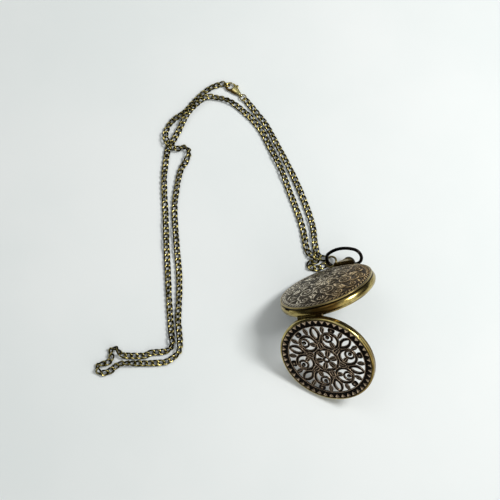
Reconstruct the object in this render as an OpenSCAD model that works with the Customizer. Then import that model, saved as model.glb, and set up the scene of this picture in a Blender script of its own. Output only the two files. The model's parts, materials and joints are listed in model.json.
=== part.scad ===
/* [Case] */
// Radius of the case band at its widest
case_r = 23.5; // [22.5:0.1:25]
// Height of the case band between the lid and the back cover
band_h = 3.5; // [3.2:0.1:4.5]
// Radius of the band's barrel-shaped outer face, in section
band_bulge = 2.5; // [2:0.1:3]
// Thickness of the band's wall at its widest
case_wall = 2.6; // [2.5:0.05:2.8]
// Depth of the bezel's seat in the front of the case
bezel_seat = 0.8; // [0.6:0.1:1.2]
// How far the neck for the back cover stands in from the band
neck_in = 1.45; // [1.3:0.05:1.6]
// Length of that neck
neck_h = 0.6; // [0.5:0.05:0.8]
// Width of the notch that the back cover is pried off at
notch_w = 4; // [3:0.5:5]
// Gap between neighbouring fixed rims
rim_gap = 0.05; // [0.03:0.01:0.1]

/* [Back cover] */
// How far the back cover's beaded rim stands in from the band
back_in = 0.8; // [0.6:0.1:1]
// Height of the rim
back_rim_h = 1.0; // [0.8:0.1:1.3]
// Open groove between the band and the back cover
back_groove = 0.3; // [0.2:0.05:0.5]
// Rise of the domed back
back_dome = 2.3; // [1.5:0.1:3]
// Wall of the back cover
back_wall = 0.55; // [0.4:0.05:0.7]
// Radius of the sealing ring's cord
seal_r = 0.15; // [0.1:0.01:0.2]

/* [Bezel and crystal] */
// How far the bezel stands in from the band
bezel_in = 2.0; // [1.9:0.05:2.1]
// Width of the bezel's ring
bezel_w = 1.9; // [1.7:0.1:2.1]
// Height of the bezel above the band
bezel_top = 0.9; // [0.6:0.1:1.0]
// Edge thickness of the crystal
crystal_t = 0.9; // [0.7:0.1:1.1]
// Rise of the domed crystal
crystal_dome = 0.7; // [0.3:0.1:0.8]
// Width of the seal round the crystal
crystal_seal = 0.35; // [0.25:0.05:0.45]

/* [Dial and hands] */
// Gap round the dial
dial_gap = 0.2; // [0.1:0.05:0.4]
// Thickness of the dial
dial_t = 0.4; // [0.3:0.05:0.5]
// Depth of the dial's face below the front of the band
dial_depth = 1.7; // [1.6:0.05:1.9]
// Length of the hour hand
hour_len = 10; // [8:0.5:12]
// Length of the minute hand
minute_len = 14.5; // [13:0.5:17]
// Length of the second hand
second_len = 15.5; // [13:0.5:17.5]
// Thickness of a hand
hand_t = 0.15; // [0.1:0.05:0.2]

/* [Movement] */
// Length of the movement from 9 to 3 o'clock
move_l = 17.8; // [17.6:0.1:18.2]
// Width of the movement from 6 to 12 o'clock
move_w = 15.3; // [15.1:0.1:15.6]
// Thickness of the movement
move_h = 3.15; // [3.1:0.05:3.3]
// Distance of the third and fifth wheels from the centre
train_d = 3.0; // [2.95:0.05:3.1]
// Distance of the rotor from the fifth wheel
rotor_d = 2.1; // [2:0.05:2.2]
// Distance of the minute wheel from the centre
motion_d = 2.6; // [2.5:0.05:2.7]
// Radius of the button cell
cell_r = 3.4; // [3.2:0.1:3.4]
// Height of the button cell
cell_h = 1.65; // [1.5:0.05:1.7]
// Place of the button cell from the dial's centre
cell_at = [5.3, -3.6];

/* [Pendant, crown and bow] */
// Depth of the stem's axis below the front of the band
stem_depth = 3.0; // [2.9:0.1:3.2]
// Length of the pendant beyond the band
pendant_l = 3.7; // [3.5:0.1:4]
// Radius of the pendant's neck
pendant_r = 3.0; // [2.8:0.1:3.2]
// Half-width of the pendant's flared foot
foot_r = 6.0; // [5.5:0.1:6.5]
// Radius of the concave flare
flare_r = 4.2; // [3.8:0.1:4.6]
// Radius of the stem
stem_r = 0.45; // [0.4:0.05:0.5]
// Radius of the crown
crown_r = 3.1; // [2.8:0.1:3.4]
// Height of the crown's fluted skirt
crown_skirt = 1.0; // [0.8:0.1:1.4]
// Radius of the crown's rounded top
crown_round = 1.1; // [0.8:0.1:1.3]
// How far the crown is pushed to open the lid
crown_push = 0.5; // [0.3:0.05:0.55]
// How far the crown is pulled to set the time
crown_pull = 1.0; // [0.8:0.1:1.2]
// Half-width of the bow on the wire's centre line
bow_a = 9.3; // [9:0.05:9.4]
// Height of the bow over its pins
bow_rise = 9.6; // [9.2:0.1:10]
// Radius of the bow's corners
bow_corner = 4.2; // [4:0.05:4.3]
// Radius of the bow's wire
bow_wire = 0.8; // [0.7:0.05:0.9]
// Distance of the bow's pins from the band
bow_out = 2.3; // [2.1:0.05:2.4]
// Angle that the bow leans back from the crown's axis
bow_lean = 97; // [90:1:110]

/* [Lid] */
// How far the lid stands in from the band
lid_in = 0.5; // [0.3:0.1:0.7]
// Height of the lid above the front of the band
lid_h = 3.2; // [3.1:0.05:3.6]
// Gap between the closed lid and the band
lid_gap = 0.15; // [0.1:0.05:0.25]
// Wall of the lid
lid_wall = 1.0; // [0.8:0.05:1.1]
// Radius of the lid's rounded front edge
lid_round = 0.9; // [0.7:0.05:1.0]
// Thickness of the openwork plate
grille_t = 0.6; // [0.5:0.05:0.7]
// Width of the beaded border
border_w = 3.4; // [3:0.1:3.6]
// Number of beads in the border
beads = 44; // [36:1:48]
// Angle that the open lid stands at, from closed
lid_open = 83; // [78:1:88]
// How far the hinge's axis stands in from the band
hinge_in = 1.0; // [0.9:0.05:1.1]
// Radius of the hinge's knuckles
knuckle_r = 1.0; // [0.9:0.05:1.05]
// Radius of the hinge pin
pin_r = 0.4; // [0.3:0.05:0.5]
// Length of the hinge
hinge_l = 12.9; // [12:0.1:14]
// Length of the lid's knuckle
knuckle_l = 6.3; // [5.5:0.1:7]
// Running gap round a knuckle
knuckle_gap = 0.15; // [0.1:0.05:0.2]

/* [Chain and clasp] */
// Length of the lobster clasp
clasp_l = 11; // [10:0.5:13]
// Thickness of the clasp
clasp_t = 2.4; // [2:0.1:2.6]
// Radius of the clasp's hook, to the middle of its wire
hook_r = 2.0; // [1.8:0.1:2.2]
// Radius of the hook's wire
hook_wire = 0.45; // [0.4:0.05:0.5]
// Radius of the ring on the bow, to the middle of its wire
ring_r = 2.7; // [2.5:0.1:2.9]
// Radius of that ring's wire
ring_wire = 0.5; // [0.4:0.05:0.55]
// Radius of the small end rings of the chain
link_ring_r = 1.6; // [1.5:0.05:1.7]
// Radius of their wire
link_wire = 0.3; // [0.25:0.05:0.35]
// Width of the chain
chain_w = 3.3; // [3:0.1:3.5]
// Thickness of the chain
chain_t = 1.5; // [1.2:0.1:1.6]

/* [Hidden] */
$fn = 64;
// Radial clearance of pressed and of turning fits
press_gap = 0.01;
turn_gap = 0.05;
eps = 0.01;

// Radii that follow the band's
case_bore_r = case_r - case_wall;
neck_r = case_r - neck_in;
back_r = case_r - back_in;
bezel_r = case_r - bezel_in;
bezel_in_r = bezel_r - bezel_w;
dial_r = case_bore_r - dial_gap;
lid_r = case_r - lid_in;
hinge_r = case_r - hinge_in;

// Heights in the watch's frame: the band's front is z = 0, the lid is on +z and 12 o'clock on +y
back_top = -(band_h + back_groove);
back_low = back_top - back_rim_h;
plate_z = -(dial_depth + dial_t);
plate_low = plate_z - 1.25;
bridge_z = plate_z - move_h + 0.5;
pad_y = case_r - 0.4;
tube_r = 0.7;
tube_bore = 0.5;
latch_w = 4;
latch_r = bezel_r + 0.85;
latch_low = -2.1;
latch_t = 0.9;
nose_t = 0.5;
nose_h = 1.0;
lift_l = 7;
lift_r = hinge_r - 0.6;
lift_t = 0.5;
lift_low = -2.8;
lift_top = -(knuckle_r + knuckle_gap + 0.1);
stem_z = -stem_depth;
pendant_end = case_r + pendant_l;
crown_base = pendant_end + crown_push + 0.1;
crown_low = crown_base + crown_skirt;
stem_in = 6;
bow_pin = pendant_r - 0.7;

// Directions and places of the open lid, in the watch's frame
lid_dir = [0, cos(lid_open), sin(lid_open)];
lid_out = [0, -sin(lid_open), cos(lid_open)];
hinge_at = [0, -hinge_r, 0];

// Furthest reach of a ring of wire along direction d: centre c, axis a, radius r, wire radius w
function reach(d, c, a, r, w) = c * d + r * sqrt(1 - pow(a * d, 2)) + w;
function band_reach(d) =
    reach(d, [0, 0, -band_h / 2], [0, 0, 1], case_r - band_bulge, band_bulge);
function crown_reach(d) =
    reach(d, [0, crown_low, stem_z], [0, 1, 0], crown_r - crown_round, crown_round);
lid_edge = 0.3;
function lid_reach(d) = reach(d, hinge_at + lid_dir * hinge_r + lid_out * (lid_gap + lid_edge),
    lid_out, lid_r - lid_edge, lid_edge);

// The watch stands on its band, its crown and the rim of its open lid. Two turns bring all three
// down to one level: a about X first, then b about Y
function up(a, b) = [-sin(b), cos(b) * sin(a), cos(b) * cos(a)];
function drop(a, b) = let (d = -up(a, b)) [band_reach(d) - crown_reach(d), band_reach(d) - lid_reach(d)];
function settle(q, left) = left == 0 ? q : let (
    h = 0.01,
    f = drop(q.x, q.y),
    fa = (drop(q.x + h, q.y) - f) / h,
    fb = (drop(q.x, q.y + h) - f) / h,
    det = fa.x * fb.y - fb.x * fa.y)
    settle(q - [fb.y * f.x - fb.x * f.y, fa.x * f.y - fa.y * f.x] / det, left - 1);
tilt = settle([-131.5, 33.5], 6);
stand = band_reach(-up(tilt.x, tilt.y));

// Middle of the watch's footprint, taken from how far its rings reach along the table
function turn_in(v) = let (c = cos(tilt.y), s = sin(tilt.y), u = cos(tilt.x), w = sin(tilt.x))
    [-c * v.x - s * v.z, u * -v.y - w * s * v.x + w * c * v.z, w * v.y - u * s * v.x + u * c * v.z];
bow_dir = [0, cos(bow_lean), -sin(bow_lean)];
bow_at = [0, case_r + bow_out, stem_z];
bow_side = bow_a - bow_corner;
bow_step = bow_rise - 2 * bow_corner;
bow_sink = (pow(bow_side, 2) - pow(bow_step, 2)) / (2 * bow_step);
bow_arch = bow_rise - bow_corner + bow_sink;
bow_turn = atan2(bow_side, bow_sink);
// The bow's middle line from one pin to the other: corner, arch and corner, in steps of 9 degrees
function corner_line() = [for (i = [0:20]) let (a = -90 + i * (180 - bow_turn) / 20)
    [bow_side + bow_corner * cos(a), bow_corner + bow_corner * sin(a)]];
function arch_line() = [for (i = [1:11]) let (a = 90 - bow_turn + i * bow_turn / 6)
    [bow_arch * cos(a), bow_corner - bow_sink + bow_arch * sin(a)]];
function bow_reach(d) = bow_wire + max([for (p = concat(corner_line(), arch_line()), s = [-1, 1])
    (bow_at + bow_dir * p.y + [s * p.x, 0, 0]) * d]);
function lid_face_reach(d) = reach(d, hinge_at + lid_dir * hinge_r + lid_out * (lid_h - lid_round),
    lid_out, lid_r - lid_round, lid_round);
function watch_reach(d) = max(band_reach(d), crown_reach(d), lid_reach(d), lid_face_reach(d),
    bow_reach(d), reach(d, [0, 0, back_low], [0, 0, 1], back_r, 0));
function footprint(d) = (watch_reach(turn_in(d)) - watch_reach(-turn_in(d))) / 2;
stand_at = [-footprint([1, 0, 0]), -footprint([0, 1, 0]), stand];
function on_table(v) =
    stand_at + [turn_in([1, 0, 0]) * v, turn_in([0, 1, 0]) * v, turn_in([0, 0, 1]) * v];
// Place of the ring on the bow, from the bow's corner, and how it leans
ring_shift = [1.8, -0.3, -0.35];
ring_lean = [-5, -25, 0];
ring_at = on_table(bow_at + bow_dir * bow_corner + [bow_a, 0, 0]) + ring_shift;

// The chain lies folded double. Its routes run from the ring on the bow to the clasp and, round the
// other way, to the small ring in the clasp's hook. They are measured from the middle of the ring
short_route = [[-3.5, 1.9, 0.8], [-6.5, 3.6, 0.8], [-7.9, 9.3, 0.8], [-9.3, 19.3, 0.8],
    [-13, 30.3, 0.8], [-17.5, 41.3, 0.8], [-23, 52.8, 0.8], [-28, 62.3, 0.8], [-34, 73.3, 0.8],
    [-40, 80.8, 0.8], [-44.3, 86.3, 1]];
long_route = [[-3.5, -1.8, 0.8], [-6.5, -3.3, 0.8], [-9.8, -3.1, 0.8], [-11.7, 0.3, 0.8],
    [-12.1, 7.3, 0.8], [-14, 16.8, 0.8], [-17, 26.3, 0.8], [-21, 36.8, 0.8], [-25.5, 48.8, 0.8],
    [-31, 59.8, 0.8], [-36.5, 70.3, 0.8], [-43.5, 78.3, 0.8], [-51.5, 84.8, 0.8], [-58.5, 87.1, 1],
    [-64.5, 86.9, 2.3], [-70, 82.3, 2.4], [-73.5, 77.8, 2.4], [-76, 72.8, 2], [-78, 67.8, 0.9],
    [-80.8, 62, 0.8], [-82.8, 58.3, 0.8], [-83.4, 53.8, 0.8], [-84, 43.8, 0.8], [-83.5, 34.3, 0.8],
    [-82.3, 22.3, 0.8], [-81, 6.3, 0.8], [-79.5, -9.2, 0.8], [-78, -24.7, 0.8], [-76.3, -39.2, 0.8],
    [-75.7, -44.2, 0.8], [-78.5, -47.2, 0.8], [-85.5, -48.2, 0.8], [-89.5, -49.7, 0.8],
    [-99, -49.7, 0.8], [-101.8, -47.2, 0.8], [-104.2, -46.7, 0.8], [-104.9, -49.2, 0.8],
    [-104.5, -52, 0.8], [-107, -53.9, 0.8], [-109.8, -54.7, 0.8], [-110.7, -56.9, 0.8],
    [-108.8, -58.7, 0.8], [-105.5, -58.1, 0.8], [-103, -56.1, 0.8], [-100, -54, 0.8],
    [-92.5, -53.5, 0.8], [-85, -53.2, 0.8], [-78.5, -52.5, 0.8], [-74.8, -50.2, 0.8],
    [-72.3, -47.2, 0.8], [-72, -43.2, 0.8], [-72.8, -36.7, 0.8], [-73.5, -30.7, 0.8],
    [-73.5, -20.7, 0.8], [-74, -9.2, 0.8], [-75.5, 2.3, 0.8], [-77, 14.8, 0.8], [-78, 25.3, 0.8],
    [-77.5, 35.3, 0.8], [-76, 45.8, 0.8], [-73.8, 50.8, 0.8], [-72.3, 54.3, 0.8], [-72.5, 57.3, 0.8],
    [-74.5, 59.1, 0.8], [-77.5, 58.1, 1.6], [-80.5, 58.3, 2.4], [-83.5, 61.3, 2.4], [-84.5, 65.8, 1.8],
    [-83.3, 70.3, 0.8], [-80, 74.8, 0.8], [-75, 78.8, 0.8], [-71, 84.1, 0.8], [-66.5, 89.3, 0.8],
    [-62.5, 92.6, 0.8], [-59, 94.5, 0.8], [-56.5, 95.2, 1]];
// Middle of the clasp's hook, and the direction from there to its tail
clasp_at = [ring_at.x - 52.5, ring_at.y + 93.8, clasp_t / 2];
clasp_turn = -42.5;

// Puts a piece of the watch from its own frame onto the table
module in_watch() {
    translate(stand_at) rotate([tilt.x, tilt.y, 180]) children();
}
// Turns a piece of the closed lid about the hinge to where the open lid stands
module in_lid() {
    in_watch() translate(hinge_at) rotate([lid_open, 0, 0]) translate(-hinge_at) children();
}
// Cylinder along X or Y, from its middle or from its foot
module rod_x(r, l) { rotate([0, 90, 0]) cylinder(r = r, h = l, center = true); }
module rod_y(r, l) { rotate([-90, 0, 0]) cylinder(r = r, h = l); }
module disc(r, z0, z1) { translate([0, 0, z0]) cylinder(r = r, h = z1 - z0); }
module tube(r1, r0, z0, z1) {
    difference() {
        disc(r1, z0, z1);
        disc(r0, z0 - 1, z1 + 1);
    }
}

module band_section() {
    intersection() {
        translate([case_bore_r, -band_h]) square([case_r, band_h]);
        translate([case_r - band_bulge, -band_h / 2]) circle(band_bulge);
    }
    translate([case_bore_r, -band_h - neck_h]) square([neck_r - case_bore_r, neck_h + 0.5]);
}
module case_middle() {
    color("goldenrod") in_watch() difference() {
        union() {
            difference() {
                rotate_extrude($fn = 128) band_section();
                disc(bezel_r + rim_gap, -bezel_seat, 1);
                translate([-8, pad_y, -10]) cube([16, 5, 20]);
                translate(hinge_at) rod_x(knuckle_r + knuckle_gap, knuckle_l + 0.3);
            }
            for (s = [-1, 1]) translate(hinge_at + [s * (hinge_l + knuckle_l + 0.3) / 4, 0, 0])
                rod_x(knuckle_r, (hinge_l - knuckle_l - 0.3) / 2);
        }
        translate(hinge_at) rod_x(pin_r + press_gap, hinge_l + 2);
        translate([0, case_bore_r - 2, stem_z]) rod_y(tube_r + press_gap, 6);
        translate([-latch_w / 2 - 0.1, case_bore_r - 1, latch_low])
            cube([latch_w + 0.2, latch_r - case_bore_r + 1.1, 5]);
        translate([-lift_l / 2 - 0.2, -lift_r - lift_t - 0.1, lift_low - 0.1])
            cube([lift_l + 0.4, lift_t + 0.2, -knuckle_r - knuckle_gap - lift_low + 0.1 + eps]);
        rotate(-56) translate([neck_r + 0.1, -notch_w / 2, -band_h - 1]) cube([3, notch_w, 1.4]);
    }
}

// Half of a round cap in section: base radius r, rise h, with its base on the X axis
module cap_section(r, h) {
    ball = (r * r + h * h) / (2 * h);
    intersection() {
        translate([0, h - ball]) circle(ball, $fn = 900);
        square([r, h + 1]);
    }
}
module back_cover() {
    seat_z = -band_h - neck_h - 2 * seal_r;
    color("saddlebrown") in_watch() rotate_extrude($fn = 128) difference() {
        union() {
            translate([0, back_low]) square([back_r, back_rim_h]);
            translate([0, back_low]) mirror([0, 1]) cap_section(back_r - 0.3, back_dome);
        }
        translate([-1, seat_z]) square([neck_r + rim_gap + 1, 5]);
        translate([-1, back_low]) square([case_bore_r + 1, 5]);
        translate([0, back_low + eps]) mirror([0, 1]) cap_section(case_bore_r, back_dome - back_wall);
    }
}
module ring_of(r, wire, z) {
    translate([0, 0, z]) rotate_extrude($fn = 96) translate([r, 0]) circle(wire, $fn = 24);
}
module back_seal() {
    color("dimgray") in_watch()
        ring_of((case_bore_r + neck_r) / 2, seal_r, -band_h - neck_h - seal_r);
}

crystal_r = bezel_in_r + 0.7;
module bezel() {
    color("darkgoldenrod") in_watch() difference() {
        rotate_extrude($fn = 128) difference() {
            union() {
                translate([bezel_in_r, -bezel_seat])
                    square([bezel_r - bezel_in_r, bezel_seat + bezel_top]);
                translate([bezel_in_r, -dial_depth])
                    square([case_bore_r - rim_gap - bezel_in_r, dial_depth]);
            }
            square([crystal_r + crystal_seal, 5]);
        }
        translate([-latch_w / 2 - 0.2, latch_r - nose_t - crown_push - 0.1, -bezel_seat - 1])
            cube([latch_w + 0.4, 3, 5]);
    }
}
module crystal() {
    color("lightcyan", 0.4) in_watch() rotate_extrude($fn = 128) union() {
        square([crystal_r - press_gap, crystal_t]);
        translate([0, crystal_t]) cap_section(crystal_r - press_gap, crystal_dome);
    }
}
module crystal_seal() {
    color("whitesmoke") in_watch()
        tube(crystal_r + crystal_seal - press_gap, crystal_r + press_gap, 0, bezel_top - 0.2);
}
module dial() {
    color("ivory") in_watch() tube(dial_r, 1.0, plate_z, plate_z + dial_t);
}

// Outline of the movement
module movement_outline(grow = 0) {
    intersection() {
        square([move_l + 2 * grow, move_w + 2 * grow], center = true);
        circle(move_l / 2 + 1 + grow);
    }
}
module movement_holder() {
    low = -band_h - neck_h;
    color("whitesmoke") in_watch() difference() {
        disc(case_bore_r - rim_gap, low, plate_z);
        translate([0, 0, low - 1]) linear_extrude(10) movement_outline(rim_gap);
        translate([0, 0, low - 1]) linear_extrude(plate_z - 1 - low + 1) difference() {
            circle(case_bore_r - 1.3);
            movement_outline(1);
        }
        translate([0, stem_in - 1, stem_z]) rod_y(stem_r + 0.35, case_bore_r);
        translate([-latch_w / 2 - 0.2, case_bore_r - 1.2, low - 1]) cube([latch_w + 0.4, 3, 5]);
    }
}

// Centres of the wheels
third_at = train_d * [cos(215), sin(215)];
fifth_at = train_d * [cos(75), sin(75)];
rotor_at = fifth_at + rotor_d * [cos(120), sin(120)];
minute_at = motion_d * [cos(20), sin(20)];
function at(p, z = 0) = [p.x, p.y, z];

// Toothed wheel on pitch radius r, with a tooth centred on angle a
module gear(teeth, r, a, z0, z1) {
    m = 2 * r / teeth;
    step = 360 / teeth;
    root = r - 1.1 * m;
    tip = r + 0.7 * m;
    translate([0, 0, z0]) linear_extrude(z1 - z0) polygon([for (i = [0:teeth - 1], k = [0:3])
        let (b = a + step * (i + [-0.21, -0.09, 0.09, 0.21][k]), q = k == 0 || k == 3 ? root : tip)
        q * [cos(b), sin(b)]]);
}
train_bore = 0.17;
pivot_r = 0.12;
// Pitch radii, from the distances between centres and the numbers of teeth
third_pinion_r = train_d * 8 / 72;
center_wheel_r = train_d * 64 / 72;
seconds_pinion_r = train_d * 8 / 68;
third_wheel_r = train_d * 60 / 68;
fifth_pinion_r = train_d * 8 / 48;
seconds_wheel_r = train_d * 40 / 48;
rotor_pinion_r = rotor_d * 6 / 42;
fifth_wheel_r = rotor_d * 36 / 42;
cannon_r = motion_d * 12 / 48;
minute_wheel_r = motion_d * 36 / 48;
minute_pinion_r = motion_d * 10 / 50;
hour_wheel_r = motion_d * 40 / 50;

posts = [[3.6, 5.8], [-3.6, -6.2], [-7.6, 3.6]];
bar_at = [-4.4, rotor_at.y];
board_at = [-7, -2];
bridge_x = 4.6;
module main_plate() {
    color("silver") in_watch() difference() {
        union() {
            translate([0, 0, plate_low]) linear_extrude(plate_z - plate_low) movement_outline();
            for (p = posts) translate(at(p)) disc(0.7, bridge_z, plate_low + 0.1);
            translate(at(bar_at)) disc(0.5, bridge_z + 0.95, plate_low + 0.1);
            translate(at(board_at)) disc(0.6, bridge_z + 0.35, plate_low + 0.1);
        }
        disc(hour_wheel_r + 0.4, plate_z - 0.75, plate_z + 1);
        translate(at(minute_at)) tube(minute_wheel_r + 0.4, 0.2, plate_z - 0.75, plate_z + 1);
        disc(center_r + turn_gap, plate_low - 1, plate_z);
        for (p = [third_at, fifth_at, rotor_at]) translate(at(p))
            disc(train_bore, plate_low - 1, plate_low + 0.25);
        translate([-1, stem_in - 1.7, plate_low - 1]) cube([2, move_w, 5]);
    }
}
module train_bridge() {
    color("goldenrod") in_watch() difference() {
        translate([0, 0, bridge_z - 0.5]) linear_extrude(0.5) difference() {
            intersection() {
                movement_outline(-0.2);
                polygon([[-move_l, move_w], [bridge_x, move_w], [bridge_x, 1], [1.2, -1.5],
                    [1.2, -move_w], [-4.8, -move_w], [-5.2, -2], [-5.2, 2.4], [-move_l, 2.6]]);
            }
            translate(cell_at) circle(cell_r + 0.2);
        }
        for (p = [third_at, fifth_at, rotor_at, [0, 0]]) translate(at(p))
            disc(train_bore, bridge_z - 0.3, bridge_z + 1);
        for (p = posts) translate(at(p)) disc(0.3, bridge_z - 1, bridge_z + 1);
    }
}
module bridge_screws() {
    color("lightsteelblue") in_watch() for (p = posts) translate(at(p)) difference() {
        union() {
            disc(0.55, bridge_z - 0.7, bridge_z - 0.5);
            disc(0.28, bridge_z - 0.6, bridge_z - eps);
        }
        translate([-1, -0.08, bridge_z - 1]) cube([2, 0.16, 0.4]);
    }
}
module circuit_board() {
    color("darkgreen") in_watch() translate([0, 0, bridge_z + 0.05]) linear_extrude(0.3)
        intersection() {
            movement_outline(-0.2);
            translate([-9, -7]) square([3.4, 9.2]);
        }
}
coil_l = 3.7;
module stator() {
    color("gray") in_watch() translate([0, 0, bridge_z + 0.55]) linear_extrude(0.4) difference() {
        union() {
            translate(rotor_at) circle(1.5);
            translate([-coil_l - 2.4, rotor_at.y - 0.7]) square([coil_l + 2.4 + rotor_at.x, 1.4]);
            for (x = [-coil_l - 2.4, -1.4]) translate([x, rotor_at.y - 0.7]) square([1, 2.9]);
        }
        translate(rotor_at) circle(0.9);
    }
}
module coil() {
    color("peru") in_watch() translate([-1.4 - coil_l / 2, rotor_at.y + 1.5, bridge_z + 0.75])
        rod_x(0.6, coil_l);
}
module button_cell() {
    color("silver") in_watch() translate(at(cell_at, plate_low - rim_gap - cell_h))
        cylinder(r = cell_r, h = cell_h);
}
module cell_clip() {
    top = plate_low - rim_gap - cell_h;
    color("gainsboro") in_watch() translate(at(cell_at, 0)) {
        translate([-0.5, -cell_r - 0.3, top - 0.15]) cube([1.6, 2 * cell_r + 0.9, 0.15]);
        translate([-0.5, cell_r + 0.3, top - 0.15]) cube([1.6, 0.3, plate_low - top + 0.15]);
    }
}
center_r = 0.4;
arbor_r = 0.14;
hand_z = [-1.35, -0.95, -0.5];
module rotor() {
    color("dimgray") in_watch() translate(at(rotor_at)) {
        disc(pivot_r, bridge_z - 0.2, plate_low + 0.2);
        disc(0.65, bridge_z + 0.5, bridge_z + 1);
        gear(6, rotor_pinion_r, -60, bridge_z + 0.03, bridge_z + 0.2);
    }
}
module fifth_wheel() {
    color("gold") in_watch() translate(at(fifth_at)) {
        disc(pivot_r, bridge_z - 0.2, plate_low + 0.2);
        gear(36, fifth_wheel_r, 120 + 5, bridge_z + 0.05, bridge_z + 0.17);
        gear(8, fifth_pinion_r, 255, bridge_z + 0.17, bridge_z + 0.5);
    }
}
module seconds_wheel() {
    color("gold") in_watch() {
        disc(arbor_r - 0.02, bridge_z - 0.2, hand_z[2] + hand_t / 2);
        gear(40, seconds_wheel_r, 75 + 4.5, bridge_z + 0.3, bridge_z + 0.45);
        gear(8, seconds_pinion_r, 215, bridge_z + 0.65, bridge_z + 0.9);
    }
}
module third_wheel() {
    color("gold") in_watch() translate(at(third_at)) {
        disc(pivot_r, bridge_z - 0.2, plate_low + 0.2);
        gear(60, third_wheel_r, 35 + 3, bridge_z + 0.7, bridge_z + 0.85);
        gear(8, third_pinion_r, 35, bridge_z + 1.05, bridge_z + 1.3);
    }
}
module center_wheel() {
    color("gold") in_watch() difference() {
        union() {
            disc(center_r, bridge_z + 1.1, hand_z[1] + hand_t / 2);
            gear(64, center_wheel_r, 215 + 180 / 64, bridge_z + 1.1, bridge_z + 1.25);
            gear(12, cannon_r, 20, plate_z - 0.6, plate_z - 0.35);
        }
        disc(arbor_r + turn_gap, -10, 1);
    }
}
module minute_wheel() {
    color("gold") in_watch() translate(at(minute_at)) difference() {
        union() {
            gear(36, minute_wheel_r, 200 + 5, plate_z - 0.55, plate_z - 0.4);
            gear(10, minute_pinion_r, 200, plate_z - 0.4, plate_z - 0.05);
        }
        disc(0.2 + turn_gap, -10, 1);
    }
}
hour_r = 0.8;
module hour_wheel() {
    color("gold") in_watch() difference() {
        union() {
            disc(hour_r, plate_z - 0.25, hand_z[0] + hand_t / 2);
            gear(40, hour_wheel_r, 20 + 4.5, plate_z - 0.25, plate_z - 0.1);
        }
        disc(center_r + turn_gap, -10, 1);
    }
}

// Pointed hand with a short tail, turned clockwise from 12 o'clock
module hand(hour, hub, bore, len, w, z) {
    in_watch() translate([0, 0, z - hand_t / 2]) rotate(-hour * 30) linear_extrude(hand_t) difference() {
        union() {
            circle(hub);
            polygon([[w, -0.2], [0.7 * w, len * 0.75], [0, len], [-0.7 * w, len * 0.75], [-w, -0.2]]);
            translate([-w / 2, -hub - 1.5]) square([w, hub + 1.5]);
        }
        circle(bore);
    }
}
module hour_hand() {
    color("black") hand(10.15, 1.15, hour_r + press_gap, hour_len, 0.5, hand_z[0]);
}
module minute_hand() {
    color("black") hand(1.8, 0.8, center_r + press_gap, minute_len, 0.35, hand_z[1]);
}
module second_hand() {
    color("black") hand(6, 0.5, arbor_r - 0.01, second_len, 0.15, hand_z[2]);
}

// Pieces along the stem's axis, drawn with that axis on Y
module on_stem() {
    in_watch() translate([0, 0, stem_z]) children();
}
// Turns a section drawn with the axis on its Y
module turned() { rotate([-90, 0, 0]) rotate_extrude() children(); }

module crown_tube() {
    color("silver") on_stem() translate([0, case_bore_r + 0.02, 0]) difference() {
        rod_y(tube_r, pendant_end - case_bore_r - 0.1);
        translate([0, -1, 0]) rod_y(tube_bore, 20);
    }
}
module stem() {
    color("silver") on_stem() translate([0, stem_in, 0]) rod_y(stem_r, crown_base + 0.8 - stem_in);
}
module clutch_wheel() {
    color("silver") on_stem() translate([0, stem_in + 0.3, 0]) difference() {
        union() {
            rod_y(0.8, 0.5);
            rod_y(0.6, 1.1);
        }
        translate([0, -1, 0]) rod_y(stem_r + turn_gap, 5);
    }
}
module crown() {
    color("darkgoldenrod") on_stem() translate([0, crown_base, 0]) difference() {
        turned() {
            square([crown_r, crown_skirt]);
            square([crown_r - crown_round, crown_skirt + crown_round]);
            intersection() {
                translate([crown_r - crown_round, crown_skirt]) circle(crown_round);
                square([crown_r, 5]);
            }
        }
        for (a = [0:15:345]) rotate([0, a, 0]) translate([crown_r + 0.12, -0.1, 0])
            rod_y(0.3, crown_skirt);
        translate([0, -1, 0]) rod_y(stem_r + press_gap, 1.9);
    }
}
module pendant() {
    foot_y = pad_y + sqrt(pow(flare_r, 2) - pow(pendant_r + flare_r - foot_r, 2));
    color("darkgoldenrod") on_stem() difference() {
        intersection() {
            turned() union() {
                difference() {
                    translate([0, pad_y]) square([foot_r, pendant_l + 0.1]);
                    translate([pendant_r + flare_r, foot_y]) circle(flare_r, $fn = 160);
                    translate([0, pendant_end]) square([foot_r, 1]);
                }
                translate([pendant_r, pendant_end - 0.35]) circle(0.35);
            }
            translate([-10, 0, -pendant_r - 0.4]) cube([20, 40, 2 * pendant_r + 0.8]);
        }
        translate([-10, 0, -0.2 - stem_z]) cube([20, pad_y + 1.2, 5]);
        translate([0, pad_y - 1, 0]) rod_y(tube_r + press_gap, 10);
        for (s = [-1, 1]) translate([s * (bow_pin + foot_r - 0.1), bow_at.y, 0])
            rod_x(bow_wire + turn_gap, 2 * foot_r);
    }
}
module bow() {
    right = concat([[bow_pin, 0]], corner_line());
    line = concat(right, arch_line(), [for (i = [len(right) - 1:-1:0]) [-right[i].x, right[i].y]]);
    last = len(line) - 1;
    sides = 16;
    points = [for (i = [0:last])
        let (d = line[min(i + 1, last)] - line[max(i - 1, 0)], n = [d.y, -d.x] / norm(d))
        for (k = [0:sides - 1]) let (a = 360 * k / sides)
            [line[i].x + n.x * bow_wire * cos(a), line[i].y + n.y * bow_wire * cos(a), bow_wire * sin(a)]];
    walls = [for (i = [0:last - 1], k = [0:sides - 1]) let (n = (k + 1) % sides, b = i * sides)
        [b + k, b + sides + k, b + sides + n, b + n]];
    ends = [[for (k = [0:sides - 1]) k], [for (k = [sides - 1:-1:0]) last * sides + k]];
    color("#1a1713") in_watch() translate(bow_at) rotate([-bow_lean, 0, 0])
        polyhedron(points, concat(walls, ends), convexity = 4);
}

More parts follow.
